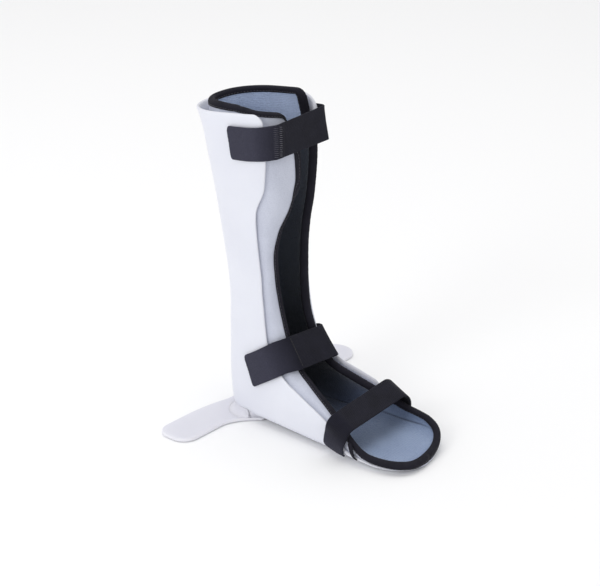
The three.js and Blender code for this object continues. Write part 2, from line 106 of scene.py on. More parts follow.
def wrap_lengths(form):
    return way_along(section_points(form, WRAP, 1, 0.0))


def toe_form(step):
    tip = np.sin(np.radians(step)) ** (2 / TOE_POWER)
    tight = np.cos(np.radians(step)) ** (2 / TOE_POWER)
    forward = TOE_START + TOE_LENGTH * tip
    past = np.clip((step - SHELL_TOE_STEP) / (LAST_TOE_STEP - SHELL_TOE_STEP), 0, 1)
    bottom = -TOE_DROP * past
    depth = TOE_DEPTH + TOE_FALL * (1 - tip)
    sole_power = TOE_SOLE_POWER + (TOE_TIP_POWER - TOE_SOLE_POWER) * past
    form = dict(back_f=forward, back_z=bottom, front_f=forward, front_z=bottom + depth, half=TOE_HALF * tight,
                wide=TOE_WIDEST, back_power=sole_power, front_power=TOE_TOP_POWER, tip=tip, tight=tight)
    lengths = wrap_lengths(form)
    for edge, angles in (("shell_near", SHELL_TOE_ANGLES), ("shell_far", SHELL_TOE_ANGLES),
                         ("liner_near", NEAR_TOE_ANGLES), ("liner_far", FAR_TOE_ANGLES)):
        form[edge] = lengths[-1] - np.interp(np.interp(step, TOE_STEPS, angles), WRAP, lengths)
    return form


form_rows = np.array([row + (0.0, 1.0) for row in LEG_ROWS]
                     + [[toe_form(step)[name] for name in FORM_COLUMNS] for step in TOE_STEPS])
back_steps = np.linalg.norm(np.diff(form_rows[:, 0:2], axis=0), axis=1)
front_steps = np.linalg.norm(np.diff(form_rows[:, 2:4], axis=0), axis=1)
form_places = np.concatenate([[0.0], np.cumsum((back_steps + front_steps) / 2)])
BALL_PLACE, TOE_PLACE = form_places[len(LEG_ROWS)], form_places[-1]


def monotone_slopes(knots, values):
    steps = np.diff(knots)[:, None]
    rates = np.diff(values, axis=0) / steps
    slopes = np.concatenate([rates, rates[-1:]])
    before, after = 2 * steps[1:] + steps[:-1], steps[1:] + 2 * steps[:-1]
    same_way = rates[:-1] * rates[1:] > 0
    low, high = np.where(same_way, rates[:-1], 1), np.where(same_way, rates[1:], 1)
    slopes[1:-1] = np.where(same_way, (before + after) / (before / low + after / high), 0)
    return slopes


def smooth_rows(knots, values, slopes, at):
    at = np.atleast_1d(np.asarray(at, float))
    index = np.clip(np.searchsorted(knots, at) - 1, 0, len(knots) - 2)
    step = (knots[index + 1] - knots[index])[:, None]
    t = (at - knots[index])[:, None] / step
    inside = (values[index] * (1 + 2 * t) * (1 - t) ** 2 + values[index + 1] * t * t * (3 - 2 * t)
              + slopes[index] * t * (1 - t) ** 2 * step + slopes[index + 1] * t * t * (t - 1) * step)
    return np.where(t < 0, values[0] + slopes[0] * at[:, None], inside)


form_slopes = monotone_slopes(form_places, form_rows)


def corner_cut(distance, radius):
    inward = np.clip(radius - np.asarray(distance, float), 0, radius)
    return radius - np.sqrt(radius ** 2 - inward ** 2)


class LegCut:
    """A cut across the leg form. Arcs run from 0 at the back or sole and are negative on the near side."""

    def __init__(self, place):
        if place > BALL_PLACE:
            share = (place - BALL_PLACE) / (TOE_PLACE - BALL_PLACE)
            self.form = toe_form(TOE_STEPS[0] + min(share, 1) * (LAST_TOE_STEP - TOE_STEPS[0]))
        else:
            row = smooth_rows(form_places, form_rows, form_slopes, place)[0]
            self.form = dict(zip(FORM_COLUMNS, row))
        self.lengths = wrap_lengths(self.form)
        half = self.lengths[-1]
        below_rim = max(place - SHELL_START, 0)
        near_wing, far_wing = corner_cut(below_rim, NEAR_WING_CORNER), corner_cut(below_rim, FAR_WING_CORNER)
        self.shell = (self.form["shell_near"] + near_wing - half, half - self.form["shell_far"] - far_wing)
        self.liner = (self.form["liner_near"] - half, half - self.form["liner_far"])

    def angle(self, arcs):
        return np.interp(np.abs(arcs), self.lengths, WRAP)

    def points(self, arcs, inset):
        arcs, half = np.asarray(arcs, float), self.lengths[-1]
        beyond = np.abs(arcs) > half
        side = np.where(arcs < 0, -1, 1) * np.where(beyond, -1, 1)
        folded = np.where(beyond, 2 * half - np.abs(arcs), arcs)
        return section_points(self.form, self.angle(folded), side, inset)


def edge_round(distance, radius):
    return np.where(distance < radius, corner_cut(distance, radius), 0.0)


def even_with_edges(start, end, edges, count):
    edges = np.asarray(edges, float)
    middle = np.linspace(start + edges[-1], end - edges[-1], count)
    return np.concatenate([start + edges, middle[1:-1], (end - edges)[::-1]])


def closed_sheet(name, outer, inner, across, along, trim=None):
    """Joins two grids that meet at their borders into a closed piece, laid flat in units of 100 mm."""
    rows, width = outer.shape[:2]
    place = np.arange(rows * width).reshape(rows, width)
    quads = np.stack([place[:-1, :-1], place[:-1, 1:], place[1:, 1:], place[1:, :-1]], axis=-1).reshape(-1, 4)
    corners = np.concatenate([quads, quads[:, ::-1] + rows * width])
    points = np.concatenate([outer.reshape(-1, 3), inner.reshape(-1, 3)]) / MM_PER_M
    mesh = bpy.data.meshes.new(name)
    mesh.from_pydata(points.tolist(), [], corners.tolist())
    flat = np.stack([np.broadcast_to(across, (rows, width)), np.broadcast_to(along, (rows, width))], axis=-1)
    flat = np.concatenate([flat.reshape(-1, 2)] * 2) / MM_PER_LAYOUT
    layout = mesh.uv_layers.new(name="lay_flat")
    layout.data.foreach_set("uv", flat[corners.reshape(-1)].astype(np.float32).reshape(-1))
    mesh.polygons.foreach_set("material_index", np.repeat([0, 1], len(quads)).astype(np.int32))
    if trim is not None:
        edge = mesh.attributes.new("trim", "FLOAT", "POINT")
        edge.data.foreach_set("value", np.tile(trim.reshape(-1), 2).astype(np.float32))
    return tidy_piece(name, mesh)


def tidy_piece(name, mesh):
    work = bmesh.new()
    work.from_mesh(mesh)
    bmesh.ops.remove_doubles(work, verts=work.verts, dist=JOIN_DISTANCE)
    bmesh.ops.recalc_face_normals(work, faces=work.faces)
    work.to_mesh(mesh)
    work.free()
    mesh.polygons.foreach_set("use_smooth", np.ones(len(mesh.polygons), dtype=bool))
    piece = bpy.data.objects.new(name, mesh)
    bpy.context.scene.collection.objects.link(piece)
    return piece


def tint(red, green, blue):
    share = np.array([red, green, blue]) / 255
    return (*np.where(share <= 0.04045, share / 12.92, ((share + 0.055) / 1.055) ** 2.4).tolist(), 1.0)


def new_finish(name, **sockets):
    finish = bpy.data.materials.new(name)
    finish.use_nodes = True
    surface = finish.node_tree.nodes["Principled BSDF"]
    for socket, value in sockets.items():
        surface.inputs[socket.replace("_", " ")].default_value = value
    return finish, finish.node_tree, surface


def node(tree, kind, settings=None, **inputs):
    made = tree.nodes.new("ShaderNode" + kind)
    for key, value in (settings or {}).items():
        setattr(made, key, value)
    for key, value in inputs.items():
        numbered = key[0] == "i" and key[1:].isdigit()
        socket = made.inputs[int(key[1:]) if numbered else key.replace("_", " ")]
        if isinstance(value, bpy.types.NodeSocket):
            tree.links.new(value, socket)
        else:
            socket.default_value = value
    return made


def ramp(tree, factor, *stops):
    made = node(tree, "ValToRGB", Fac=factor)
    while len(made.color_ramp.elements) < len(stops):
        made.color_ramp.elements.new(0.5)
    for element, (position, colour) in zip(made.color_ramp.elements, stops):
        element.position, element.color = position, colour
    return made.outputs["Color"]


def grey(value):
    return (value, value, value, 1.0)


def sums(tree, first, second, kind="ADD"):
    return node(tree, "Math", {"operation": kind}, i0=first, i1=second).outputs[0]


def moulded_plastic(name, light, dark, trimmed):
    finish, tree, surface = new_finish(name, Subsurface_Weight=0.12, Subsurface_Radius=(0.004, 0.004, 0.0045),
                                       Subsurface_Scale=1.0, IOR=1.49)
    place = node(tree, "TexCoord").outputs["Object"]
    cloud = node(tree, "TexNoise", Vector=place, Scale=14.0, Detail=3.0).outputs["Fac"]
    grain = node(tree, "TexNoise", Vector=place, Scale=420.0, Detail=2.0).outputs["Fac"]
    edge = node(tree, "Attribute", {"attribute_name": "trim"}).outputs["Fac"]
    body = ramp(tree, cloud, (0.3, dark), (0.72, light))
    mix = node(tree, "Mix", {"data_type": "RGBA"}, i0=edge, i6=body, i7=trimmed)
    tree.links.new(mix.outputs[2], surface.inputs["Base Color"])
    rough = ramp(tree, sums(tree, cloud, edge), (0.35, grey(0.33)), (0.9, grey(0.5)))
    tree.links.new(rough, surface.inputs["Roughness"])
    scrape = node(tree, "TexNoise", Vector=place, Scale=900.0, Detail=4.0).outputs["Fac"]
    height = sums(tree, grain, sums(tree, scrape, edge, "MULTIPLY"))
    bump = node(tree, "Bump", Strength=0.35, Distance=0.00025, Height=height)
    tree.links.new(bump.outputs["Normal"], surface.inputs["Normal"])
    return finish


shell_end = np.interp(SHELL_TOE_STEP, (TOE_STEPS[0], LAST_TOE_STEP), (BALL_PLACE, TOE_PLACE))
shell_rows = even_with_edges(SHELL_START, shell_end, TRIM_STEPS, SHELL_ROWS)
lip_start, lip_end = form_places[FOOT_LIP_ROWS[0]] + FOOT_LIP_LATE, form_places[FOOT_LIP_ROWS[1]]
shell_outer, shell_inner, shell_arcs, shell_trim = [], [], [], []
for place in shell_rows:
    cut = LegCut(place)
    lip = np.clip(min(place - lip_start, lip_end - place) / FOOT_LIP_FADE, 0, 1)
    lip = lip * lip * (3 - 2 * lip)
    arcs = even_with_edges(cut.shell[0], cut.shell[1] + FOOT_LIP_RISE * lip, TRIM_STEPS, SHELL_COLUMNS)
    edge = np.minimum(arcs - arcs[0], arcs[-1] - arcs)
    edge = np.minimum(edge, min(place - SHELL_START, shell_end - place))
    rounded = edge_round(edge, SHELL_WALL / 2)
    flare = RIM_FLARE * np.clip(1 - (place - SHELL_START) / RIM_FLARE_RUN, 0, 1) ** 2
    inset = -flare * np.maximum(np.cos(np.radians(cut.angle(arcs))), 0)
    inset = inset - FOOT_LIP_OUT * lip * np.clip(1 - (arcs[-1] - arcs) / FOOT_LIP_RUN, 0, 1) ** 2
    ripple = HAND_RIPPLE * np.sin(place / RIPPLE_DOWN[0] + arcs / RIPPLE_ROUND[0])
    ripple = ripple * np.sin(arcs / RIPPLE_ROUND[1] - place / RIPPLE_DOWN[1])
    shell_outer.append(cut.points(arcs, inset + rounded - ripple * np.clip(edge / RIPPLE_FADE, 0, 1)))
    shell_inner.append(cut.points(arcs, inset + SHELL_WALL - rounded))
    shell_arcs.append(arcs)
    shell_trim.append(np.clip(1 - edge / TRIM_BAND, 0, 1))
shell = closed_sheet("shell_gutter", np.array(shell_outer), np.array(shell_inner), np.array(shell_arcs),
                     shell_rows[:, None], np.array(shell_trim))
shell_plastic = moulded_plastic("shell_polypropylene", tint(227, 229, 238), tint(221, 223, 233),
                                tint(212, 213, 221))
shell.data.materials.append(shell_plastic)
shell.data.materials.append(shell_plastic)
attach(shell, "root")
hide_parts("shell")


# Derotation bar: a flat strip of the same white plastic with round ends, welded across under the heel so
# that the lying foot can't roll. Its front edge flares out to meet the heel, and its rims are rounded over.
BAR_THICK, BAR_NEAR, BAR_FAR, BAR_BACK, BAR_FRONT = 3.5, -125.0, 159.0, -41.0, 1.5
BAR_NEAR_CORNER, BAR_FAR_CORNER = 17.0, 20.5
BAR_WAIST, BAR_WAIST_START, BAR_WAIST_END = 8.0, 22.0, 80.0
BAR_FLARE, BAR_FLARE_START, BAR_FLARE_END = 24.0, 34.0, 72.0
BAR_ROUND, BAR_FLAT = 1.3, 6.0
# How much each ring of the bar's edge, bottom to top, takes of the rougher scraped cut edge and of its
# painted light.
BAR_TRIM_AND_LIGHT = (0, 0.3, 0.7, 1, 1)
BAR_CORNER_STEPS, BAR_CURVE_STEPS, BAR_RING_STEPS = 21, 25, 361


def bar_corner(x, forward, radius, start):
    turn = np.radians(start + np.linspace(0, 90, BAR_CORNER_STEPS))
    return np.stack([x + radius * np.cos(turn), radius * np.sin(turn) - forward], axis=-1)


def bar_front_edge(out):
    """How far forward the flared front edge lies at a distance out from the middle of the leg."""
    share = (BAR_FLARE_END - np.maximum(out, BAR_FLARE_START)) / (BAR_FLARE_END - BAR_FLARE_START)
    return BAR_FRONT + BAR_FLARE * share ** 2


def points_at(at, way, points):
    """The points at given distances along a line of points."""
    return np.stack([np.interp(at, way, points[:, k]) for k in range(points.shape[1])], axis=-1)


def ring_faces(count, size, first=0):
    """The faces between neighbouring rings of points, each ring of the same size."""
    faces = []
    for low in range(first, first + (count - 1) * size, size):
        high = low + size
        faces += [[low + j, low + (j + 1) % size, high + (j + 1) % size, high + j] for j in range(size)]
    return faces


flare_out = np.linspace(BAR_FLARE_END, BAR_FLARE_START, BAR_CURVE_STEPS)
near_flare = np.stack([-flare_out, -bar_front_edge(flare_out)], axis=-1)
far_flare = (near_flare * (-1, 1))[::-1]
waist_out = np.linspace(BAR_WAIST_END, BAR_WAIST_START, BAR_CURVE_STEPS)
waist_share = (BAR_WAIST_END - waist_out) / (BAR_WAIST_END - BAR_WAIST_START)
far_waist = np.stack([waist_out, -(BAR_BACK + BAR_WAIST * waist_share ** 2)], axis=-1)
near_waist = (far_waist * (-1, 1))[::-1]
near_x, far_x = BAR_NEAR + BAR_NEAR_CORNER, BAR_FAR - BAR_FAR_CORNER
bar_plan = np.concatenate([
    near_flare, far_flare,
    bar_corner(far_x, BAR_FRONT - BAR_FAR_CORNER, BAR_FAR_CORNER, -90),
    bar_corner(far_x, BAR_BACK + BAR_FAR_CORNER, BAR_FAR_CORNER, 0),
    far_waist, near_waist,
    bar_corner(near_x, BAR_BACK + BAR_NEAR_CORNER, BAR_NEAR_CORNER, 90),
    bar_corner(near_x, BAR_FRONT - BAR_NEAR_CORNER, BAR_NEAR_CORNER, 180)])
bar_loop = np.vstack([bar_plan, bar_plan[:1]])
bar_way = way_along(bar_loop)
bar_plan = points_at(np.linspace(0, bar_way[-1], BAR_RING_STEPS)[:-1], bar_way, bar_loop)
bar_ahead = np.roll(bar_plan, -1, axis=0) - np.roll(bar_plan, 1, axis=0)
bar_inward = np.stack([-bar_ahead[:, 1], bar_ahead[:, 0]], axis=-1)
bar_inward /= np.linalg.norm(bar_inward, axis=1, keepdims=True)
bar_turns = np.radians([-90, -60, -30, 0])
bar_profile = [(BAR_ROUND * (1 - np.cos(turn)), BAR_ROUND * (1 + np.sin(turn))) for turn in bar_turns]
bar_profile += [(inset, BAR_THICK - height) for inset, height in bar_profile[::-1]]
bar_profile = [(BAR_FLAT, 0.0)] + bar_profile + [(BAR_FLAT, BAR_THICK)]
bar_rings = np.array([np.column_stack([bar_plan + inset * bar_inward, np.full(len(bar_plan), height)])
                      for inset, height in bar_profile])
ring_count, ring_size = bar_rings.shape[:2]
bar_faces = ring_faces(ring_count, ring_size)
bar_faces.append(list(range(ring_size))[::-1])
bar_faces.append([(ring_count - 1) * ring_size + j for j in range(ring_size)])
bar_mesh = bpy.data.meshes.new("derotation_bar_strip")
bar_mesh.from_pydata((bar_rings.reshape(-1, 3) / MM_PER_M).tolist(), [], bar_faces)
bar_trim_and_light = bar_mesh.attributes.new("trim", "FLOAT", "POINT")
bar_trim_and_light.data.foreach_set("value", np.repeat(BAR_TRIM_AND_LIGHT + BAR_TRIM_AND_LIGHT[::-1], ring_size).astype(np.float32))
bar = tidy_piece("derotation_bar_strip", bar_mesh)
# The bar's rims and side walls are painted paler than its faces: painted light that offsets the shade on its
# sides, on top of the rougher scraped cut edge.
bar_plastic = moulded_plastic("bar_polypropylene", tint(220, 220, 229), tint(213, 213, 223),
                              tint(228, 228, 235))
bar.data.materials.append(bar_plastic)
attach(bar, "root")
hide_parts("derotation_bar")


# Heel weld: a rod of the same plastic melted round the heel where it stands on the bar and smoothed by hand
# into a hollow corner, thinner at both front ends. A short upright strip welded on at each side closes the
# gap between the heel and the flared front edge of the bar.
WELD_TALL, WELD_WIDE, WELD_SUNK, WELD_BITE, WELD_CORE = 10.0, 7.0, 0.05, 0.3, -3.0
WELD_FRONT, WELD_NARROW, WELD_TAPER, WELD_END, WELD_HIDE = 16.5, 3.0, 9.0, 3.0, 2.0
WELD_TOP, WELD_FOOT = BAR_THICK + WELD_TALL, BAR_THICK - WELD_SUNK
WELD_STEPS, WELD_ARC_STEPS, HEEL_LINE_STEPS, HEEL_LINE_CROWD = 161, 9, 40, 4
HEEL_ROWS, HEEL_STEPS, WALL_HALVINGS = (10, 13), 60, 36
STOP_OUT, STOP_IN, STOP_TOP, STOP_THICK, STOP_BACK, STOP_STEPS = 42.5, 28.0, 12.0, 4.0, 0.7, 24
STOP_PROFILE = ((0, WELD_FOOT), (0, STOP_TOP), (1, STOP_TOP), (1, WELD_FOOT))


def wall_point(forward, up, side, lift):
    """The point of the leg form's wall at a place seen from the side, lifted off the wall."""
    low, high = 0.0, TOE_PLACE
    for _ in range(WALL_HALVINGS):
        middle = (low + high) / 2
        form = LegCut(middle).form
        run, rise = form["front_f"] - form["back_f"], form["front_z"] - form["back_z"]
        if run * (up - form["back_z"]) - rise * (forward - form["back_f"]) < 0:
            low = middle
        else:
            high = middle
    form = LegCut(low).form
    depth = np.hypot(form["front_f"] - form["back_f"], form["front_z"] - form["back_z"])
    along = np.hypot(forward - form["back_f"], up - form["back_z"]) - form["wide"] * depth
    exponent = form["back_power"] if along < 0 else form["front_power"]
    reach = (form["wide"] if along < 0 else 1 - form["wide"]) * depth
    share = min(abs(along) / reach, 1)
    return np.array([side * (form["half"] * (1 - share ** exponent) ** (1 / exponent) + lift), -forward, up])


heel_places = np.linspace(form_places[HEEL_ROWS[0]], form_places[HEEL_ROWS[1]], HEEL_STEPS)
heel_forms = [LegCut(place).form for place in heel_places]
weld_back = np.interp(-WELD_TOP, [-form["back_z"] for form in heel_forms],
                      [form["back_f"] for form in heel_forms])
weld_crowd = np.linspace(1, 0, HEEL_LINE_STEPS)[:-1] ** HEEL_LINE_CROWD
weld_forward = weld_back + (WELD_FRONT - weld_back) * weld_crowd
heel_line = np.array([wall_point(forward, WELD_TOP, -1, 0.0)[:2] for forward in weld_forward]
                     + [wall_point(forward, WELD_TOP, 1, 0.0)[:2] for forward in weld_forward[::-1]])
heel_way = way_along(heel_line)
weld_way = np.linspace(0, heel_way[-1], WELD_STEPS)
weld_line = points_at(weld_way, heel_way, heel_line)
weld_ahead = np.gradient(weld_line, axis=0)
weld_outward = np.stack([-weld_ahead[:, 1], weld_ahead[:, 0]], axis=-1)
weld_outward /= np.linalg.norm(weld_outward, axis=1, keepdims=True)
weld_left = np.minimum(weld_way, weld_way[-1] - weld_way)
weld_width = np.clip((weld_left - WELD_NARROW) / WELD_TAPER, 0, 1)
weld_height = np.clip(weld_left / WELD_END, 0, 1)
weld_turns = np.radians(np.linspace(0, 90, WELD_ARC_STEPS))
weld_profile = [(WELD_FOOT + WELD_TALL * (1 - np.sin(turn)),
                 WELD_WIDE - (WELD_WIDE + WELD_BITE) * np.cos(turn)) for turn in weld_turns]
weld_profile += [(WELD_FOOT, -WELD_WIDE), (WELD_FOOT + WELD_TALL / 2, WELD_CORE)]
weld_points = []
for point, outward, width, tall in zip(weld_line, weld_outward, weld_width, weld_height):
    for height, out in weld_profile:
        out = out * width - WELD_HIDE * (1 - tall)
        weld_points.append((*(point + outward * out), WELD_FOOT + (height - WELD_FOOT) * tall))
weld_faces = ring_faces(len(weld_way), len(weld_profile))
stop_out = np.linspace(STOP_OUT, STOP_IN, STOP_STEPS)
stop_size = len(STOP_PROFILE)
stop_front = bar_front_edge(stop_out) - STOP_BACK
for side in (-1, 1):
    start = len(weld_points)
    for out, front in zip(stop_out, stop_front):
        weld_points += [(side * out, STOP_THICK * deep - front, height) for deep, height in STOP_PROFILE]
    weld_faces += ring_faces(STOP_STEPS, stop_size, start)
    weld_faces += [[end + j for j in range(stop_size)] for end in (start, len(weld_points) - stop_size)]
weld_mesh = bpy.data.meshes.new("heel_weld_bead")
weld_mesh.from_pydata((np.array(weld_points) / MM_PER_M).tolist(), [], weld_faces)
weld = tidy_piece("heel_weld_bead", weld_mesh)
weld.data.materials.append(bar_plastic)
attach(weld, "root")


# Liner: 5 mm foam faced with grey brushed cloth outside and blue-grey towelling inside, cut as one boot
# that opens down the front. It is glued in the shell at the back and its flaps wrap the shin and the foot.
LINER_OUTER, LINER_WALL = 3.3, 5.0
NEAR_LINER_CORNER, FAR_LINER_CORNER = 18.0, 10.0
FLAP_DIP, FLAP_DIP_COLUMNS, FLAP_DIP_RUN = 20.0, 9, 60.0
LINER_TUCK, LINER_TUCK_RUN = 8.0, 80.0
TAPE_REACH, TAPE_SHARE, FOLD_ROOM = 5.5, 0.35, 1.2
FLAP_STEPS, SHELL_STEPS = 4, 16
EDGE_COLUMNS = np.array([0, 0.02, 0.07, 0.15, 0.25, 0.36, 0.55, 0.75, 1.0])
FLAP_FINE, WALL_FINE, RIM_FINE, LEG_FINE, TOE_FINE = 19, 113, 30, 170, 60
RIM_EDGE, RIM_RUN = (0, 0.14, 0.5, 1.05, 1.75, 2.5), 60
FLAP_PUFF, PUFF_START, PUFF_FADE = 1.1, 6, 14
SOFT_WAVE, SOFT_FADE, SOFT_DOWN, SOFT_ROUND = 0.35, 12, (13.0, 29.0), (19.0, 11.0)
RIB_SCALE, LOOP_SHADE, FUZZ_SHARE = 17.0, 0.25, 0.4
liner_columns = np.arange(2 * FLAP_STEPS + SHELL_STEPS + 1.0)


def liner_knots(cut):
    reach = min(TAPE_REACH, TAPE_SHARE * cut.liner[1])
    far_fold = min(cut.shell[1], cut.liner[1] - FOLD_ROOM * reach)
    near = np.linspace(cut.liner[0] + reach, cut.shell[0], FLAP_STEPS)
    far = np.linspace(far_fold, cut.liner[1] - reach, FLAP_STEPS)
    middle = np.linspace(cut.shell[0], far_fold, SHELL_STEPS + 1)
    return np.concatenate([cut.liner[:1], near[:-1], middle, far[1:], cut.liner[1:]])


def liner_points(place, arcs, inset):
    """Points on the liner at a place down the leg; the near flap's rim dips toward its free edge."""
    arcs, inset = np.broadcast_arrays(np.asarray(arcs, float), np.asarray(inset, float))
    cut = LegCut(place)
    knots = liner_knots(cut)
    column = np.interp(arcs, knots, liner_columns)
    past = arcs - np.clip(arcs, knots[0], knots[-1])
    tuck = LINER_TUCK * np.clip(1 - max(place, 0) / LINER_TUCK_RUN, 0, 1) ** 2
    points = cut.points(arcs, inset + tuck)
    dip = FLAP_DIP * np.clip(1 - column / FLAP_DIP_COLUMNS, 0, 1) ** 2
    dip = dip * np.clip(1 - place / FLAP_DIP_RUN, 0, 1)
    for index in np.flatnonzero(dip > 0):
        lower = LegCut(place + dip[index])
        arc = np.interp(column[index], liner_columns, liner_knots(lower)) + past[index]
        points[index] = lower.points(arc, inset[index] + tuck)
    return points


shell_column = FLAP_STEPS + SHELL_STEPS
fine_columns = np.concatenate([EDGE_COLUMNS, np.linspace(1, FLAP_STEPS, FLAP_FINE)[1:],
                               np.linspace(FLAP_STEPS, shell_column, WALL_FINE)[1:],
                               np.linspace(shell_column, liner_columns[-1] - 1, FLAP_FINE)[1:],
                               liner_columns[-1] - EDGE_COLUMNS[::-1][1:]])
liner_rows = np.concatenate([RIM_EDGE, np.linspace(RIM_EDGE[-1], RIM_RUN, RIM_FINE)[1:],
                             np.linspace(RIM_RUN, BALL_PLACE, LEG_FINE)[1:],
                             np.linspace(BALL_PLACE, TOE_PLACE, TOE_FINE)[1:]])
# The foot bed is a separate layer sewn in; its edge leaves a step and a crease along both walls of the foot.
BED_PLACES = (325, 339, 350, 361, 402, 420, 432, 451, 470)
BED_EDGE = (37, 38.6, 40, 41.4, 50.4, 50.3, 51, 53, 53)
BED_START, BED_END, BED_FADE, BED_STEP, BED_EASE = 322, 468, 25, 0.9, 2.5
CREASE_HALF, CREASE_DEPTH = 1.2, 1.1
liner_outer, liner_inner, liner_arcs, liner_crease_shade = [], [], [], []
for place in liner_rows:
    cut = LegCut(place)
    knots = liner_knots(cut)
    arcs = np.interp(fine_columns, liner_columns, knots)
    near_draw, far_draw = corner_cut(place, NEAR_LINER_CORNER), corner_cut(place, FAR_LINER_CORNER)
    arcs = np.interp(arcs, (knots[0], knots[-1]), (knots[0] + near_draw, knots[-1] - far_draw))
    edge = np.minimum(np.minimum(arcs - arcs[0], arcs[-1] - arcs), place)
    rounded = edge_round(edge, LINER_WALL / 2)
    near_puff = np.clip((arcs - knots[1]) / max(cut.shell[0] - knots[1], 1), 0, 1)
    far_puff = np.clip((arcs - cut.shell[1]) / max(knots[-2] - cut.shell[1], 1), 0, 1)
    puff = (np.sin(np.pi * near_puff) ** 2 + np.sin(np.pi * far_puff) ** 2) * FLAP_PUFF
    puff = puff * np.clip((place - PUFF_START) / PUFF_FADE, 0, 1)
    soft = SOFT_WAVE * np.sin(place / SOFT_DOWN[0] + arcs / SOFT_ROUND[0])
    soft = soft * np.sin(arcs / SOFT_ROUND[1] - place / SOFT_DOWN[1]) * np.clip(edge / SOFT_FADE, 0, 1)
    liner_outer.append(liner_points(place, arcs, LINER_OUTER + rounded - puff))
    bed = np.interp(place, BED_PLACES, BED_EDGE) - np.abs(arcs)
    shown = np.clip((place - BED_START) / BED_FADE, 0, 1) * np.clip((BED_END - place) / BED_FADE, 0, 1)
    crease = shown * np.exp(-(bed / CREASE_HALF) ** 2)
    soft = soft + shown * BED_STEP * np.clip(bed / BED_EASE + 0.5, 0, 1) - CREASE_DEPTH * crease
    liner_inner.append(liner_points(place, arcs, LINER_OUTER + LINER_WALL - rounded + soft))
    liner_arcs.append(arcs)
    liner_crease_shade.append(crease)
liner = closed_sheet("liner_boot", np.array(liner_outer), np.array(liner_inner), np.array(liner_arcs),
                     liner_rows[:, None], np.array(liner_crease_shade))


def brushed_cloth(name, light, dark, loft, pile, rib):
    finish, tree, surface = new_finish(name, Roughness=0.92, Specular_IOR_Level=0.2, Sheen_Weight=0.25,
                                       Sheen_Roughness=0.5)
    place = node(tree, "TexCoord").outputs["Object"]
    cloud = node(tree, "TexNoise", Vector=place, Scale=22.0, Detail=4.0).outputs["Fac"]
    loops = node(tree, "TexVoronoi", Vector=place, Scale=pile).outputs["Distance"]
    fuzz = node(tree, "TexNoise", Vector=place, Scale=1500.0, Detail=3.0).outputs["Fac"]
    flat = node(tree, "UVMap", {"uv_map": "lay_flat"}).outputs["UV"]
    ribs = node(tree, "TexWave", {"bands_direction": "Y"}, Vector=flat, Scale=RIB_SCALE, Distortion=1.2,
                Detail=2.0, Detail_Scale=2.0).outputs["Fac"]
    ribs = sums(tree, ribs, rib, "MULTIPLY")
    shade = sums(tree, sums(tree, cloud, ribs), sums(tree, loops, LOOP_SHADE, "MULTIPLY"), "SUBTRACT")
    colour = ramp(tree, shade, (0.22, dark), (0.6, light))
    tree.links.new(colour, surface.inputs["Base Color"])
    height = sums(tree, sums(tree, sums(tree, fuzz, FUZZ_SHARE, "MULTIPLY"), ribs), loops, "SUBTRACT")
    bump = node(tree, "Bump", Strength=0.6, Distance=loft, Height=height)
    tree.links.new(bump.outputs["Normal"], surface.inputs["Normal"])
    return finish, tree, surface, colour


# The blue lining's colour carries painted shade along the leg: full blue at the calf rim, painted near black
# down the leg and round the heel, and on the foot bed painted darkest at the back and paler toward the toe.
LINING_LENGTH, CREASE_PAINTED_SHADE = 5.0, 0.75
LINING_PAINTED_SHADE = ((0.075, grey(1.0)), (0.1, grey(0.12)), (0.64, grey(0.08)), (0.73, (0.14, 0.15, 0.18, 1)),
                 (0.8, (0.33, 0.36, 0.41, 1)), (0.88, (0.43, 0.47, 0.52, 1)), (0.97, (0.54, 0.57, 0.62, 1)))
outside, _, _, _ = brushed_cloth("liner_grey_cloth", tint(205, 209, 223), tint(186, 190, 205),
                                 loft=0.0003, pile=900.0, rib=0.03)
inside, tree, surface, colour = brushed_cloth("liner_blue_towelling", tint(188, 204, 234),
                                              tint(163, 178, 209), loft=0.0008, pile=620.0, rib=0.16)
flat = node(tree, "UVMap", {"uv_map": "lay_flat"}).outputs["UV"]
down_leg = node(tree, "SeparateXYZ", Vector=flat).outputs["Y"]
down_share = node(tree, "MapRange", Value=down_leg, From_Min=0.0, From_Max=LINING_LENGTH).outputs["Result"]
# Painted shade: the lining's colour is multiplied by this ramp by place along the leg.
depth = ramp(tree, down_share, *LINING_PAINTED_SHADE)
# Painted shade: along the foot bed's crease the lining's colour is mixed toward a deep blue, darkest in the
# crease's middle.
crease = node(tree, "Attribute", {"attribute_name": "trim"}).outputs["Fac"]
shaded = node(tree, "Mix", {"data_type": "RGBA", "blend_type": "MULTIPLY"}, i0=1.0, i6=colour, i7=depth)
shaded = node(tree, "Mix", {"data_type": "RGBA"}, i0=sums(tree, crease, CREASE_PAINTED_SHADE, "MULTIPLY"),
              i6=shaded.outputs[2], i7=tint(34, 42, 60))
tree.links.new(shaded.outputs[2], surface.inputs["Base Color"])
liner.data.materials.append(outside)
liner.data.materials.append(inside)
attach(liner, "root")
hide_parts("liner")


# Binding: black woven tape folded over the liner's whole edge and sewn through with one row of lockstitch.
# It runs up the near flap, round the calf rim, down the far edge and round the toe as one closed loop.
TAPE_FIT, TAPE_WALL, TAPE_LEG, TAPE_LIP = 0.2, 0.9, 5.2, 0.3
TAPE_BEND_STEPS, TAPE_LEG_STEPS = 11, 6
TOE_WRAP, TOE_WRAP_RATE, TOE_WRAP_LATE = 0.7, 2, 0.7
TAPE_PUCKER, PUCKER_STEP = 0.02, 1.9
SEAM_INSET, SEAM_DENT, SEAM_DENT_HALF = 4.0, 0.3, 0.7
SIDE_FINE, CORNER_FINE, CALF_RIM_FINE = 210, 14, 80
CORD_RATE, BAND_FUZZ, WEAVE_SHADE, CLOUD_SHADE = 0.8, 0.7, 0.35, 0.6
tape_mid = LINER_OUTER + LINER_WALL / 2
tape_nose = LINER_WALL / 2
tape_inside = tape_nose + TAPE_FIT
tape_outside = tape_inside + TAPE_WALL


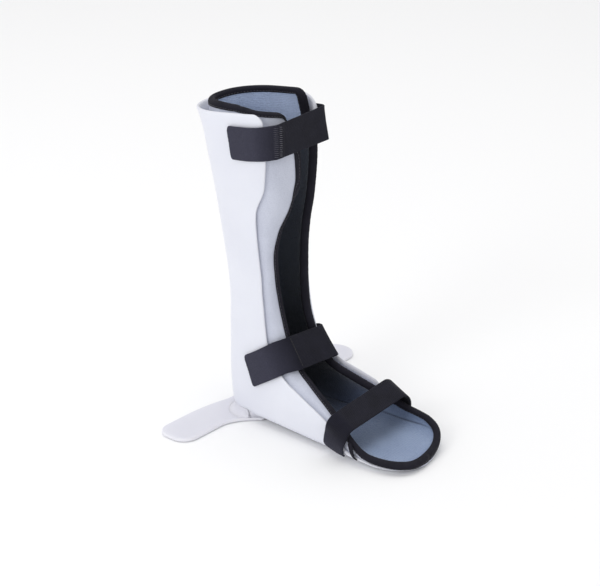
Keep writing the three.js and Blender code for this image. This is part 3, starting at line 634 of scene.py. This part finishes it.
def tape_profile():
    """The folded tape as (distance past the liner's edge, inset), round the nose and back on the inside."""
    bend = np.radians(np.linspace(-90, 90, TAPE_BEND_STEPS))
    legs = np.linspace(-TAPE_LEG, -tape_nose, TAPE_LEG_STEPS)[:-1]
    dent = SEAM_DENT * np.exp(-((legs + SEAM_INSET) / SEAM_DENT_HALF) ** 2)
    lip_end, lip_mid = -TAPE_LEG - TAPE_LIP, (tape_outside + tape_inside) / 2
    over = [(s, -tape_outside + d) for s, d in zip(legs, dent)]
    nose = [(-tape_nose + tape_outside * np.cos(b), tape_outside * np.sin(b)) for b in bend]
    under = [(s, tape_outside - d) for s, d in zip(legs[::-1], dent[::-1])]
    hollow = [(lip_end, lip_mid), (-TAPE_LEG, tape_inside)]
    hollow += [(-tape_nose + tape_inside * np.cos(b), tape_inside * np.sin(b)) for b in bend[::-1][::2]]
    hollow += [(-TAPE_LEG, -tape_inside), (lip_end, -lip_mid)]
    return np.array(over + nose + under + hollow)


def tape_side(corner, column, sideways):
    """Steps down one edge of the liner, as (place, arc, how far down and how far sideways the edge faces)."""
    places = np.concatenate([np.linspace(corner, BALL_PLACE, SIDE_FINE),
                             np.linspace(BALL_PLACE, TOE_PLACE, TOE_FINE)[1:]])
    return [(place, liner_knots(LegCut(place))[column], 0.0, sideways) for place in places]


def tape_corner(corner, column, sideways):
    steps = []
    for angle in np.radians(np.linspace(0, 90, CORNER_FINE))[1:-1]:
        place = corner * (1 - np.sin(angle))
        arc = liner_knots(LegCut(place))[column] - sideways * corner * (1 - np.cos(angle))
        steps.append((place, arc, -np.sin(angle), sideways * np.cos(angle)))
    return steps


rim_knots = liner_knots(LegCut(0))
rim_ends = rim_knots[0] + NEAR_LINER_CORNER, rim_knots[-1] - FAR_LINER_CORNER
rim_arcs = np.linspace(*rim_ends, CALF_RIM_FINE)
rim = [(0.0, arc, -1.0, 0.0) for arc in rim_arcs]
tape_path = (tape_side(NEAR_LINER_CORNER, 0, -1.0)[::-1] + tape_corner(NEAR_LINER_CORNER, 0, -1.0) + rim
             + tape_corner(FAR_LINER_CORNER, -1, 1.0)[::-1] + tape_side(FAR_LINER_CORNER, -1, 1.0))


def tape_rings(path, profile):
    """Rings along the edge; where the tape runs down a side, one cut serves the whole ring."""
    rings = []
    for index, (place, arc, down, sideways) in enumerate(path):
        past, inset = profile.T
        inset_at = tape_mid + inset * (1 + TAPE_PUCKER * np.sin(index * PUCKER_STEP))
        if down == 0.0:
            toe_share = (place - BALL_PLACE) / (TOE_PLACE - BALL_PLACE)
            wide = TOE_WRAP * np.clip(toe_share * TOE_WRAP_RATE - TOE_WRAP_LATE, 0, 1)
            past = np.where((past < -tape_nose) & (inset < 0), past + (past + tape_nose) * wide, past)
            rings.append(liner_points(place, arc + past * sideways, inset_at))
        else:
            rings.append([liner_points(place + out * down, [arc + out * sideways], [deep])[0]
                          for out, deep in zip(past, inset_at)])
    return np.array(rings)


profile = tape_profile()
rings = tape_rings(tape_path, profile)
count, size = rings.shape[:2]
nose_middle = TAPE_LEG_STEPS - 1 + TAPE_BEND_STEPS // 2
tape_way = way_along(np.concatenate([rings[:, nose_middle], rings[:1, nose_middle]]))
profile_way = way_along(np.vstack([profile, profile[:1]]))
faces, layout = [], []
for i in range(count):
    for j in range(size):
        after, turned = (i + 1) % count, (j + 1) % size
        faces.append((i * size + j, after * size + j, after * size + turned, i * size + turned))
        layout += [(profile_way[j], tape_way[i]), (profile_way[j], tape_way[i + 1]),
                   (profile_way[j + 1], tape_way[i + 1]), (profile_way[j + 1], tape_way[i])]
tape_mesh = bpy.data.meshes.new("binding_tape")
tape_mesh.from_pydata((rings.reshape(-1, 3) / MM_PER_M).tolist(), [], faces)
tape_layout = np.array(layout, np.float32) / MM_PER_LAYOUT
tape_mesh.uv_layers.new(name="lay_flat").data.foreach_set("uv", tape_layout.reshape(-1))
binding = tidy_piece("binding_tape", tape_mesh)


def woven_band(name, light, dark, rib, loft, sheen):
    """A woven band whose ribs run across it; the layout's second direction runs along the band."""
    finish, tree, surface = new_finish(name, Roughness=0.85, Specular_IOR_Level=0.15, Sheen_Weight=sheen,
                                       Sheen_Roughness=0.45)
    flat = node(tree, "UVMap", {"uv_map": "lay_flat"}).outputs["UV"]
    place = node(tree, "TexCoord").outputs["Object"]
    ribs = node(tree, "TexWave", {"bands_direction": "Y"}, Vector=flat, Scale=rib, Distortion=0.6, Detail=2.0,
                Detail_Scale=3.0).outputs["Fac"]
    cords = node(tree, "TexWave", {"bands_direction": "X"}, Vector=flat, Scale=rib * CORD_RATE,
                 Distortion=0.9, Detail=2.0).outputs["Fac"]
    fuzz = node(tree, "TexNoise", Vector=place, Scale=1300.0, Detail=3.0).outputs["Fac"]
    cloud = node(tree, "TexNoise", Vector=place, Scale=60.0, Detail=4.0).outputs["Fac"]
    weave = sums(tree, sums(tree, ribs, cords, "MULTIPLY"), sums(tree, fuzz, BAND_FUZZ, "MULTIPLY"))
    shade = sums(tree, sums(tree, weave, WEAVE_SHADE, "MULTIPLY"), sums(tree, cloud, CLOUD_SHADE, "MULTIPLY"))
    colour = ramp(tree, shade, (0.25, dark), (0.75, light))
    tree.links.new(colour, surface.inputs["Base Color"])
    bump = node(tree, "Bump", Strength=0.7, Distance=loft, Height=weave)
    tree.links.new(bump.outputs["Normal"], surface.inputs["Normal"])
    return finish, tree, surface, colour


tape_cloth, _, _, _ = woven_band("binding_black_tape", tint(38, 37, 47), tint(20, 19, 27),
                                 rib=40.0, loft=0.00035, sheen=0.02)
binding.data.materials.append(tape_cloth)
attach(binding, "root")
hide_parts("binding")


# Binding stitches: lockstitches of black polyester thread, 2.4 mm long, sewn by machine through tape, foam
# and tape again, so that one row shows on each face of the tape and draws it in a little.
STITCH_STEP, STITCH_LENGTH, STITCH_RADIUS, STITCH_FIRST = 3.4, 2.4, 0.34, 1.0
STITCH_RINGS, STITCH_SIDES, STITCH_TIP, STITCH_PROUD = 6, 6, 0.1, 0.5


def sewn_row(name, ends, lift, radius, thread):
    """One small rounded stitch for each pair of end points, lying along the cloth with its middle proud."""
    along = np.linspace(0, 1, STITCH_RINGS)
    swell = np.sqrt(np.clip(np.sin(np.pi * along), 0, 1)) * (1 - STITCH_TIP) + STITCH_TIP
    turns = np.radians(np.arange(STITCH_SIDES) * 360 / STITCH_SIDES)
    points, faces = [], []
    for (start, end), up in zip(ends, lift):
        ahead = end - start
        sideways = np.cross(up, ahead / np.linalg.norm(ahead))
        base = len(points)
        for share, fat in zip(along, swell):
            middle = start + ahead * share + up * radius * STITCH_PROUD * fat
            points += [middle + radius * fat * (np.cos(a) * sideways + np.sin(a) * up) for a in turns]
        faces += ring_faces(STITCH_RINGS, STITCH_SIDES, base)
        faces += [[base + k for k in range(STITCH_SIDES)][::-1],
                  [len(points) - STITCH_SIDES + k for k in range(STITCH_SIDES)]]
    mesh = bpy.data.meshes.new(name)
    mesh.from_pydata((np.array(points) / MM_PER_M).tolist(), [], faces)
    row = tidy_piece(name, mesh)
    row.data.materials.append(thread)
    return row


def thread_finish(name, light, dark):
    finish, tree, surface = new_finish(name, Roughness=0.55, Sheen_Weight=0.3)
    place = node(tree, "TexCoord").outputs["Object"]
    ply = node(tree, "TexNoise", Vector=place, Scale=2400.0, Detail=2.0).outputs["Fac"]
    tree.links.new(ramp(tree, ply, (0.3, dark), (0.7, light)), surface.inputs["Base Color"])
    bump = node(tree, "Bump", Strength=0.5, Distance=0.0001, Height=ply)
    tree.links.new(bump.outputs["Normal"], surface.inputs["Normal"])
    return finish


black_thread = thread_finish("black_thread", tint(66, 65, 74), tint(34, 33, 40))
stitch_ends, stitch_up = [], []
seam_height = tape_outside - SEAM_DENT
for side in (-1, 1):
    seam_profile = np.array([(-SEAM_INSET, side * seam_height), (-SEAM_INSET, side * (seam_height + 1))])
    line = tape_rings(tape_path, seam_profile)
    row, lifted = line[:, 0], line[:, 1] - line[:, 0]
    way = way_along(row)
    for start in np.arange(STITCH_FIRST, way[-1] - STITCH_STEP, STITCH_STEP):
        stitch_ends.append([points_at(at, way, row) for at in (start, start + STITCH_LENGTH)])
        up = points_at(start, way, lifted)
        stitch_up.append(up / np.linalg.norm(up))
stitches = sewn_row("binding_stitches", stitch_ends, stitch_up, STITCH_RADIUS, black_thread)
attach(stitches, "root")


# Straps: soft loop-faced webbing, 35 mm wide on calf and ankle and 30 mm at the toe. Each is riveted to the
# far wall, crosses the open front and is pressed closed on the near wall, where its end is cut round.
STRAP_LIFT, STRAP_WALL = 1.4, 2.4
STRAP_ROWS = {
    "calf_strap": ((-3, 318.2, 2, 284.4, None), (18, 321, 21, 286.5, None), (32, 323, 34, 288.5, None),
                   (39, 324.4, 40, 289.2, None), (43, 325, 43.6, 289.6, None), (46.8, 325.4, 46.8, 290, 33)),
    "ankle_strap": ((9, 73, 23.5, 42.3, None), (20.5, 80, 36.5, 50.5, None), (31, 87, 48.5, 58, None),
                    (42, 94.5, 59, 64.5, None), (51.6, 99, 70.6, 69, 25)),
    "toe_strap": ((119.5, 13, 146.4, 4.8, None), (120.2, 18, 147, 9.2, None), (121.5, 26, 148, 16, None),
                  (125, 38, 150.5, 26, 51.5), (128, 44, 152, 32, 49.5), (130, 46.5, 153, 34.5, 45)),
}
STRAP_SEAM = {"calf_strap": (62.4, 17.8), "ankle_strap": (60.0, 0.0), "toe_strap": (0.0, 0.0)}
# How far from the near end each strap's painted sheen reaches.
STRAP_SHEEN_END = {"calf_strap": 60.0, "ankle_strap": 56.0, "toe_strap": 24.0}
STRAP_CLOTH = {"calf_strap": 1.9, "ankle_strap": 1.8, "toe_strap": 2.2}
STRAP_CORNERS = ((2.8, 9.0), (2.2, 7.0), (5.0, 5.0), (5.0, 5.0))
CALF_LAYER, ANKLE_LAYER, ANKLE_LAYER_RUN, TOE_WAVE, TOE_WAVE_RUN = 0.45, 0.1, 1.6, 0.12, 9.0
FAR_BENDS = {
    "calf_strap": (((1.5, 0, 2), (8, -2, 1)),),
    "ankle_strap": (((0, -1, -4), (1, -4, -2)), ((0, 0, -4), (0, 0, -1)), ((0, 0, -2), (0, 0, 0))),
    "toe_strap": (((-9, 3, 4), (-6, 2, 4)), ((-4, 1.5, 3), (-3, 1, 2))),
}
BAND_STEP, BAND_COLUMNS = 1.6, 22
BAND_ENDS, BAND_EDGES = (0, 0.12, 0.4, 0.8, 1.3, 2.2, 3.4, 5.0), (0, 0.1, 0.35, 0.7, 1.1)
RAGGED_WAVES, RAGGED_RUN, SHEEN_FADE = ((0.22, 2.3, 0.0), (0.16, 5.1, 1.0)), 4, 30


def band_line(rows, side, lift):
    """Upper edge, middle and lower edge of a band at each row, on the wall or at a given distance out."""
    line = []
    for upper_f, upper_z, lower_f, lower_z, out in rows:
        for share in (0, 0.5, 1):
            forward, up = upper_f + (lower_f - upper_f) * share, upper_z + (lower_z - upper_z) * share
            if out is None:
                line.append(wall_point(forward, up, side, lift))
            else:
                line.append(np.array([side * out, -forward, up]))
    return np.array(line).reshape(-1, 3, 3)


def strap_ahead(strip):
    index = np.arange(len(strip))
    return strip[np.minimum(index + 1, index[-1]), 1] - strip[np.maximum(index - 1, 0), 1]


def strap_normals(strip):
    normals = np.cross(strip[:, 2] - strip[:, 0], strap_ahead(strip))
    return normals / np.linalg.norm(normals, axis=1, keepdims=True)


def fine_strip(knots, step):
    way = way_along(knots[:, 1])
    flat = knots.reshape(len(knots), 9)
    at = even_with_edges(0, way[-1], BAND_ENDS, int(way[-1] / step))
    return at, smooth_rows(way, flat, monotone_slopes(way, flat), at).reshape(-1, 3, 3)


def bowed(line, share):
    """Points at given shares of the way across a band, on the bow through its two edges and its middle."""
    share = np.asarray(share)[..., None]
    first, last = (1 - share) * (1 - 2 * share) * line[0], share * (2 * share - 1) * line[2]
    return first + 4 * share * (1 - share) * line[1] + last


def end_cut(distance, along, across):
    left = np.clip(1 - distance / along, 0, 1)
    return across * (1 - np.sqrt(1 - left ** 2))


def band_sheet(name, knots, wall, corners, layer, step=BAND_STEP, sheen_end=0.0):
    """A closed band on a strip of knots; layer gives the height added on top at each distance along. The
    corners, two at the first end and two at the last, are cut (along, across), and the first end is cut a
    little ragged. Painted sheen: the cloth's colour is painted paler at the first end and fades out by
    sheen_end."""
    at, strip = fine_strip(knots, step)
    normals = strap_normals(strip)
    ahead = strap_ahead(strip)
    width = np.linalg.norm(strip[:, 2] - strip[:, 0], axis=1)
    outer, inner, across, painted_sheen = [], [], [], []
    for index, line in enumerate(strip):
        start, end = at[index], at[-1] - at[index]
        upper = max(end_cut(start, *corners[0]), end_cut(end, *corners[2]))
        lower = max(end_cut(start, *corners[1]), end_cut(end, *corners[3]))
        reach = even_with_edges(upper, width[index] - lower, BAND_EDGES, BAND_COLUMNS)
        ragged = sum(size * np.sin(reach * rate + shift) for size, rate, shift in RAGGED_WAVES)
        ragged = ragged * np.clip(1 - start / RAGGED_RUN, 0, 1)
        middle = bowed(line, reach / width[index])
        middle = middle + np.outer(ragged, ahead[index] / np.linalg.norm(ahead[index]))
        edge = np.minimum(np.minimum(reach - reach[0], reach[-1] - reach), min(start, end))
        rounded = edge_round(edge, wall / 2)
        top = wall + layer(at[index])
        blend = 1 - rounded / (wall / 2)
        inner.append(middle + normals[index] * rounded[:, None])
        outer.append(middle + normals[index] * (wall / 2 + (top - wall / 2) * blend)[:, None])
        across.append(reach)
        painted_sheen.append(np.full(len(reach), np.clip((sheen_end - at[index]) / SHEEN_FADE, 0, 1)))
    band = closed_sheet(name, np.array(outer), np.array(inner), np.array(across), at[:, None],
                        np.array(painted_sheen))
    return band, at, strip, normals


def strap_knots(name, rows):
    """The strap's line from the near end, over the front and down the far wall, slack at its far bend."""
    near, far = band_line(rows, -1, STRAP_LIFT), band_line(rows, 1, STRAP_LIFT)[::-1]
    for row, (upper, lower) in enumerate(FAR_BENDS[name]):
        far[row] += np.array([upper, np.add(upper, lower) / 2, lower])
    chord = [near[-1] + (far[0] - near[-1]) * share for share in (0.25, 0.5, 0.75)]
    return np.concatenate([near, np.array(chord), far])


def strap_layer(name, way):
    """The second layer sewn on the calf strap, the ankle strap's step at its seam, the toe strap's waves."""
    seam, overlap = STRAP_SEAM[name]
    if name == "calf_strap":
        return CALF_LAYER * float(seam - overlap < way < seam)
    if name == "ankle_strap":
        return ANKLE_LAYER * np.clip((seam - way) / ANKLE_LAYER_RUN, 0, 1)
    return TOE_WAVE * np.sin(way / TOE_WAVE_RUN)


strap_cloth, tree, surface, colour = woven_band("strap_loop_webbing", tint(32, 32, 44), tint(17, 17, 26),
                                                rib=30.0, loft=0.0005, sheen=0.05)
# Painted sheen: near each strap's near end its colour is mixed toward paler loop pile, fading out by the
# strap's sheen end.
sheen_share = node(tree, "Attribute", {"attribute_name": "trim"}).outputs["Fac"]
place = node(tree, "TexCoord").outputs["Object"]
pile = node(tree, "TexNoise", Vector=place, Scale=1500.0, Detail=4.0).outputs["Fac"]
loops = ramp(tree, pile, (0.3, tint(50, 50, 63)), (0.7, tint(66, 66, 81)))
mixed = node(tree, "Mix", {"data_type": "RGBA"}, i0=sheen_share, i6=colour, i7=loops).outputs[2]
tree.links.new(mixed, surface.inputs["Base Color"])
strap_bands = {}
for name, rows in STRAP_ROWS.items():
    band, at, strip, normals = band_sheet(name + "_webbing", strap_knots(name, rows), STRAP_CLOTH[name],
                                          STRAP_CORNERS, lambda way: strap_layer(name, way),
                                          sheen_end=STRAP_SHEEN_END[name])
    band.data.materials.append(strap_cloth)
    band.data.materials.append(strap_cloth)
    strap_bands[name] = (at, strip, normals)
    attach(band, "root")
    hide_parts(name)


# Strap stitching: two rows of slanted grey stitches where the calf strap's end tab is sewn on, and one
# straight row of black ones along the step where the ankle strap's two lengths are sewn together.
CALF_SEAM_ROWS, CALF_SEAM_REACH, CALF_SEAM_STEP = (50.0, 55.4), (2.2, 32.5), 2.1
CALF_SLANT, CALF_STITCH_HEIGHT, CALF_STITCH_RADIUS = (4.8, 1.5), 2.35, 0.3
ANKLE_SEAM_ROW = STRAP_SEAM["ankle_strap"][0] - 2.0
ANKLE_SEAM_REACH, ANKLE_SEAM_STEP, ANKLE_STITCH = (2.0, 32.0), 2.8, 2.4
ANKLE_STITCH_HEIGHT, ANKLE_STITCH_RADIUS = 1.8, 0.42
grey_thread = thread_finish("charcoal_thread", tint(86, 85, 99), tint(50, 49, 60))
strap_thread = thread_finish("strap_black_thread", tint(14, 14, 19), tint(7, 7, 10))


def strap_place(name, way, reach, height):
    at, strip, normals = strap_bands[name]
    line = np.array([points_at(way, at, strip[:, i]) for i in range(3)])
    up = points_at(way, at, normals)
    return bowed(line, reach / np.linalg.norm(line[2] - line[0])) + up * height, up


calf_ends, calf_up = [], []
for row in CALF_SEAM_ROWS:
    for reach in np.arange(*CALF_SEAM_REACH, CALF_SEAM_STEP):
        start, up = strap_place("calf_strap", row, reach, CALF_STITCH_HEIGHT)
        end, _ = strap_place("calf_strap", row + CALF_SLANT[0], reach + CALF_SLANT[1], CALF_STITCH_HEIGHT)
        calf_ends.append((start, end))
        calf_up.append(up)
ankle_ends, ankle_up = [], []
for reach in np.arange(*ANKLE_SEAM_REACH, ANKLE_SEAM_STEP):
    start, up = strap_place("ankle_strap", ANKLE_SEAM_ROW, reach, ANKLE_STITCH_HEIGHT)
    end, _ = strap_place("ankle_strap", ANKLE_SEAM_ROW, reach + ANKLE_STITCH, ANKLE_STITCH_HEIGHT)
    ankle_ends.append((start, end))
    ankle_up.append(up)
for sewn in (sewn_row("calf_strap_stitches", calf_ends, calf_up, CALF_STITCH_RADIUS, grey_thread),
             sewn_row("ankle_strap_stitches", ankle_ends, ankle_up, ANKLE_STITCH_RADIUS, strap_thread)):
    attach(sewn, "root")


# Binding tail: the free end of the edge tape, left over where the loop round the liner closes. It is cut at
# a slant and turned down on the near wall behind the toe rim.
TAIL_ROWS = ((152, 24, 157, 25, None), (155.5, 15, 160.5, 16, None), (157.7, 10.5, 161.5, 11.5, None),
             (160, 6, 162.5, 7, None))
TAIL_CORNERS, TAIL_STEP = ((1.0, 1.0),) * 4, 1.0
tail, _, _, _ = band_sheet("binding_tail_end", band_line(TAIL_ROWS, -1, STRAP_LIFT), TAPE_WALL, TAIL_CORNERS,
                           lambda way: 0.0, step=TAIL_STEP)
tail.data.materials.append(tape_cloth)
tail.data.materials.append(tape_cloth)
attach(tail, "root")
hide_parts("binding_tail")


# Rivets: tubular steel rivets, nickel plated, with a low dome, a rolled rim and a dimple in the middle. One
# is set through the far end of each strap into the far wall of the shell.
RIVET_RADIUS, RIVET_HEIGHT, RIVET_CLEAR, RIVET_SIDES = 5.0, 1.6, 0.3, 40
RIVET_PROFILE = ((0.0, 0.0), (0.9, 0.0), (1.0, 0.12), (1.0, 0.28), (0.95, 0.4), (0.86, 0.44), (0.8, 0.5),
                 (0.7, 0.72), (0.52, 0.9), (0.3, 0.98), (0.18, 0.98), (0.14, 0.9), (0.0, 0.88))
plated, tree, surface = new_finish("rivet_nickel", Metallic=1.0)
place = node(tree, "TexCoord").outputs["Object"]
smudge = node(tree, "TexNoise", Vector=place, Scale=350.0, Detail=4.0).outputs["Fac"]
nickel = ramp(tree, smudge, (0.3, tint(176, 178, 186)), (0.7, tint(214, 215, 221)))
tree.links.new(nickel, surface.inputs["Base Color"])
tree.links.new(ramp(tree, smudge, (0.3, grey(0.22)), (0.75, grey(0.4))), surface.inputs["Roughness"])
scuff = node(tree, "TexNoise", Vector=place, Scale=1800.0, Detail=2.0).outputs["Fac"]
bump = node(tree, "Bump", Strength=0.15, Distance=0.0001, Height=scuff)
tree.links.new(bump.outputs["Normal"], surface.inputs["Normal"])
rivet_turns = np.radians(np.arange(RIVET_SIDES) * 360 / RIVET_SIDES)
for name, rows in STRAP_ROWS.items():
    coarse = strap_knots(name, rows)
    up = strap_normals(coarse)[-2]
    seat = coarse[-2, 1] + up * (STRAP_WALL + RIVET_CLEAR)
    sideways = np.cross(up, (0, 0, 1.0))
    sideways /= np.linalg.norm(sideways)
    round_about = np.cross(up, sideways)
    spokes = [np.cos(turn) * sideways + np.sin(turn) * round_about for turn in rivet_turns]
    points = [seat + up * height * RIVET_HEIGHT + radius * RIVET_RADIUS * spoke
              for radius, height in RIVET_PROFILE for spoke in spokes]
    rivet_mesh = bpy.data.meshes.new(name.replace("strap", "rivet") + "_head")
    faces = ring_faces(len(RIVET_PROFILE), RIVET_SIDES)
    rivet_mesh.from_pydata((np.array(points) / MM_PER_M).tolist(), [], faces)
    rivet = tidy_piece(rivet_mesh.name, rivet_mesh)
    rivet.data.materials.append(plated)
    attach(rivet, "root")
    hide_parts(name.replace("strap", "rivet"))


# Studio: a wide sheet of pale paper for a floor, an even white surround and two soft lamps, one high on the
# near side and one overhead. The camera stands two metres off at the near front and looks down on the foot.
FLOOR_HALF, FLOOR_DROP = 6, 0.0004
SURROUND_STRENGTH = 0.82
CAMERA_AIM, CAMERA_SIGHT, CAMERA_BACK = (0.0, -0.06, 0.17), (0.7129, 0.5877, -0.3827), 2.0
CAMERA_LENS, CAMERA_SENSOR, CAMERA_SHIFT, CAMERA_CLIP = 120.0, 36.0, (-0.0163, -0.0437), 50.0
floor_corners = [(FLOOR_HALF * x, FLOOR_HALF * y, -FLOOR_DROP)
                 for x, y in ((-1, -1), (1, -1), (1, 1), (-1, 1))]
floor_mesh = bpy.data.meshes.new("studio_floor")
floor_mesh.from_pydata(floor_corners, [], [(0, 1, 2, 3)])
floor = bpy.data.objects.new("studio_floor", floor_mesh)
bpy.context.scene.collection.objects.link(floor)
paper, _, _ = new_finish("studio_paper", Roughness=0.9, Base_Color=(0.93, 0.93, 0.935, 1))
floor.data.materials.append(paper)

surround = bpy.data.worlds.new("studio_surround")
surround.use_nodes = True
backdrop = surround.node_tree.nodes["Background"]
backdrop.inputs["Color"].default_value = (1, 1, 1, 1)
backdrop.inputs["Strength"].default_value = SURROUND_STRENGTH
bpy.context.scene.world = surround
bpy.context.scene.view_settings.view_transform = "Standard"


def soft_lamp(name, place, aim, size, power):
    lamp = bpy.data.lights.new(name, "AREA")
    lamp.shape, lamp.size, lamp.energy = "DISK", size, power
    holder = bpy.data.objects.new(name, lamp)
    holder.location = place
    holder.rotation_euler = (Vector(aim) - Vector(place)).to_track_quat("-Z", "Y").to_euler()
    bpy.context.scene.collection.objects.link(holder)


soft_lamp("key_lamp", place=(-2.0, 0.1, 1.3), aim=(0, 0, 0.15), size=1.0, power=10)
soft_lamp("top_lamp", place=(0.1, 0.4, 2.6), aim=(0, 0, 0), size=2.0, power=16)

camera_data = bpy.data.cameras.new("studio_camera")
camera_data.lens, camera_data.sensor_width = CAMERA_LENS, CAMERA_SENSOR
camera_data.shift_x, camera_data.shift_y = CAMERA_SHIFT
camera_data.clip_end = CAMERA_CLIP
camera = bpy.data.objects.new("studio_camera", camera_data)
camera.location = np.array(CAMERA_AIM) - CAMERA_BACK * np.array(CAMERA_SIGHT)
camera.rotation_euler = Vector(CAMERA_SIGHT).to_track_quat("-Z", "Y").to_euler()
bpy.context.scene.collection.objects.link(camera)
bpy.context.scene.camera = camera
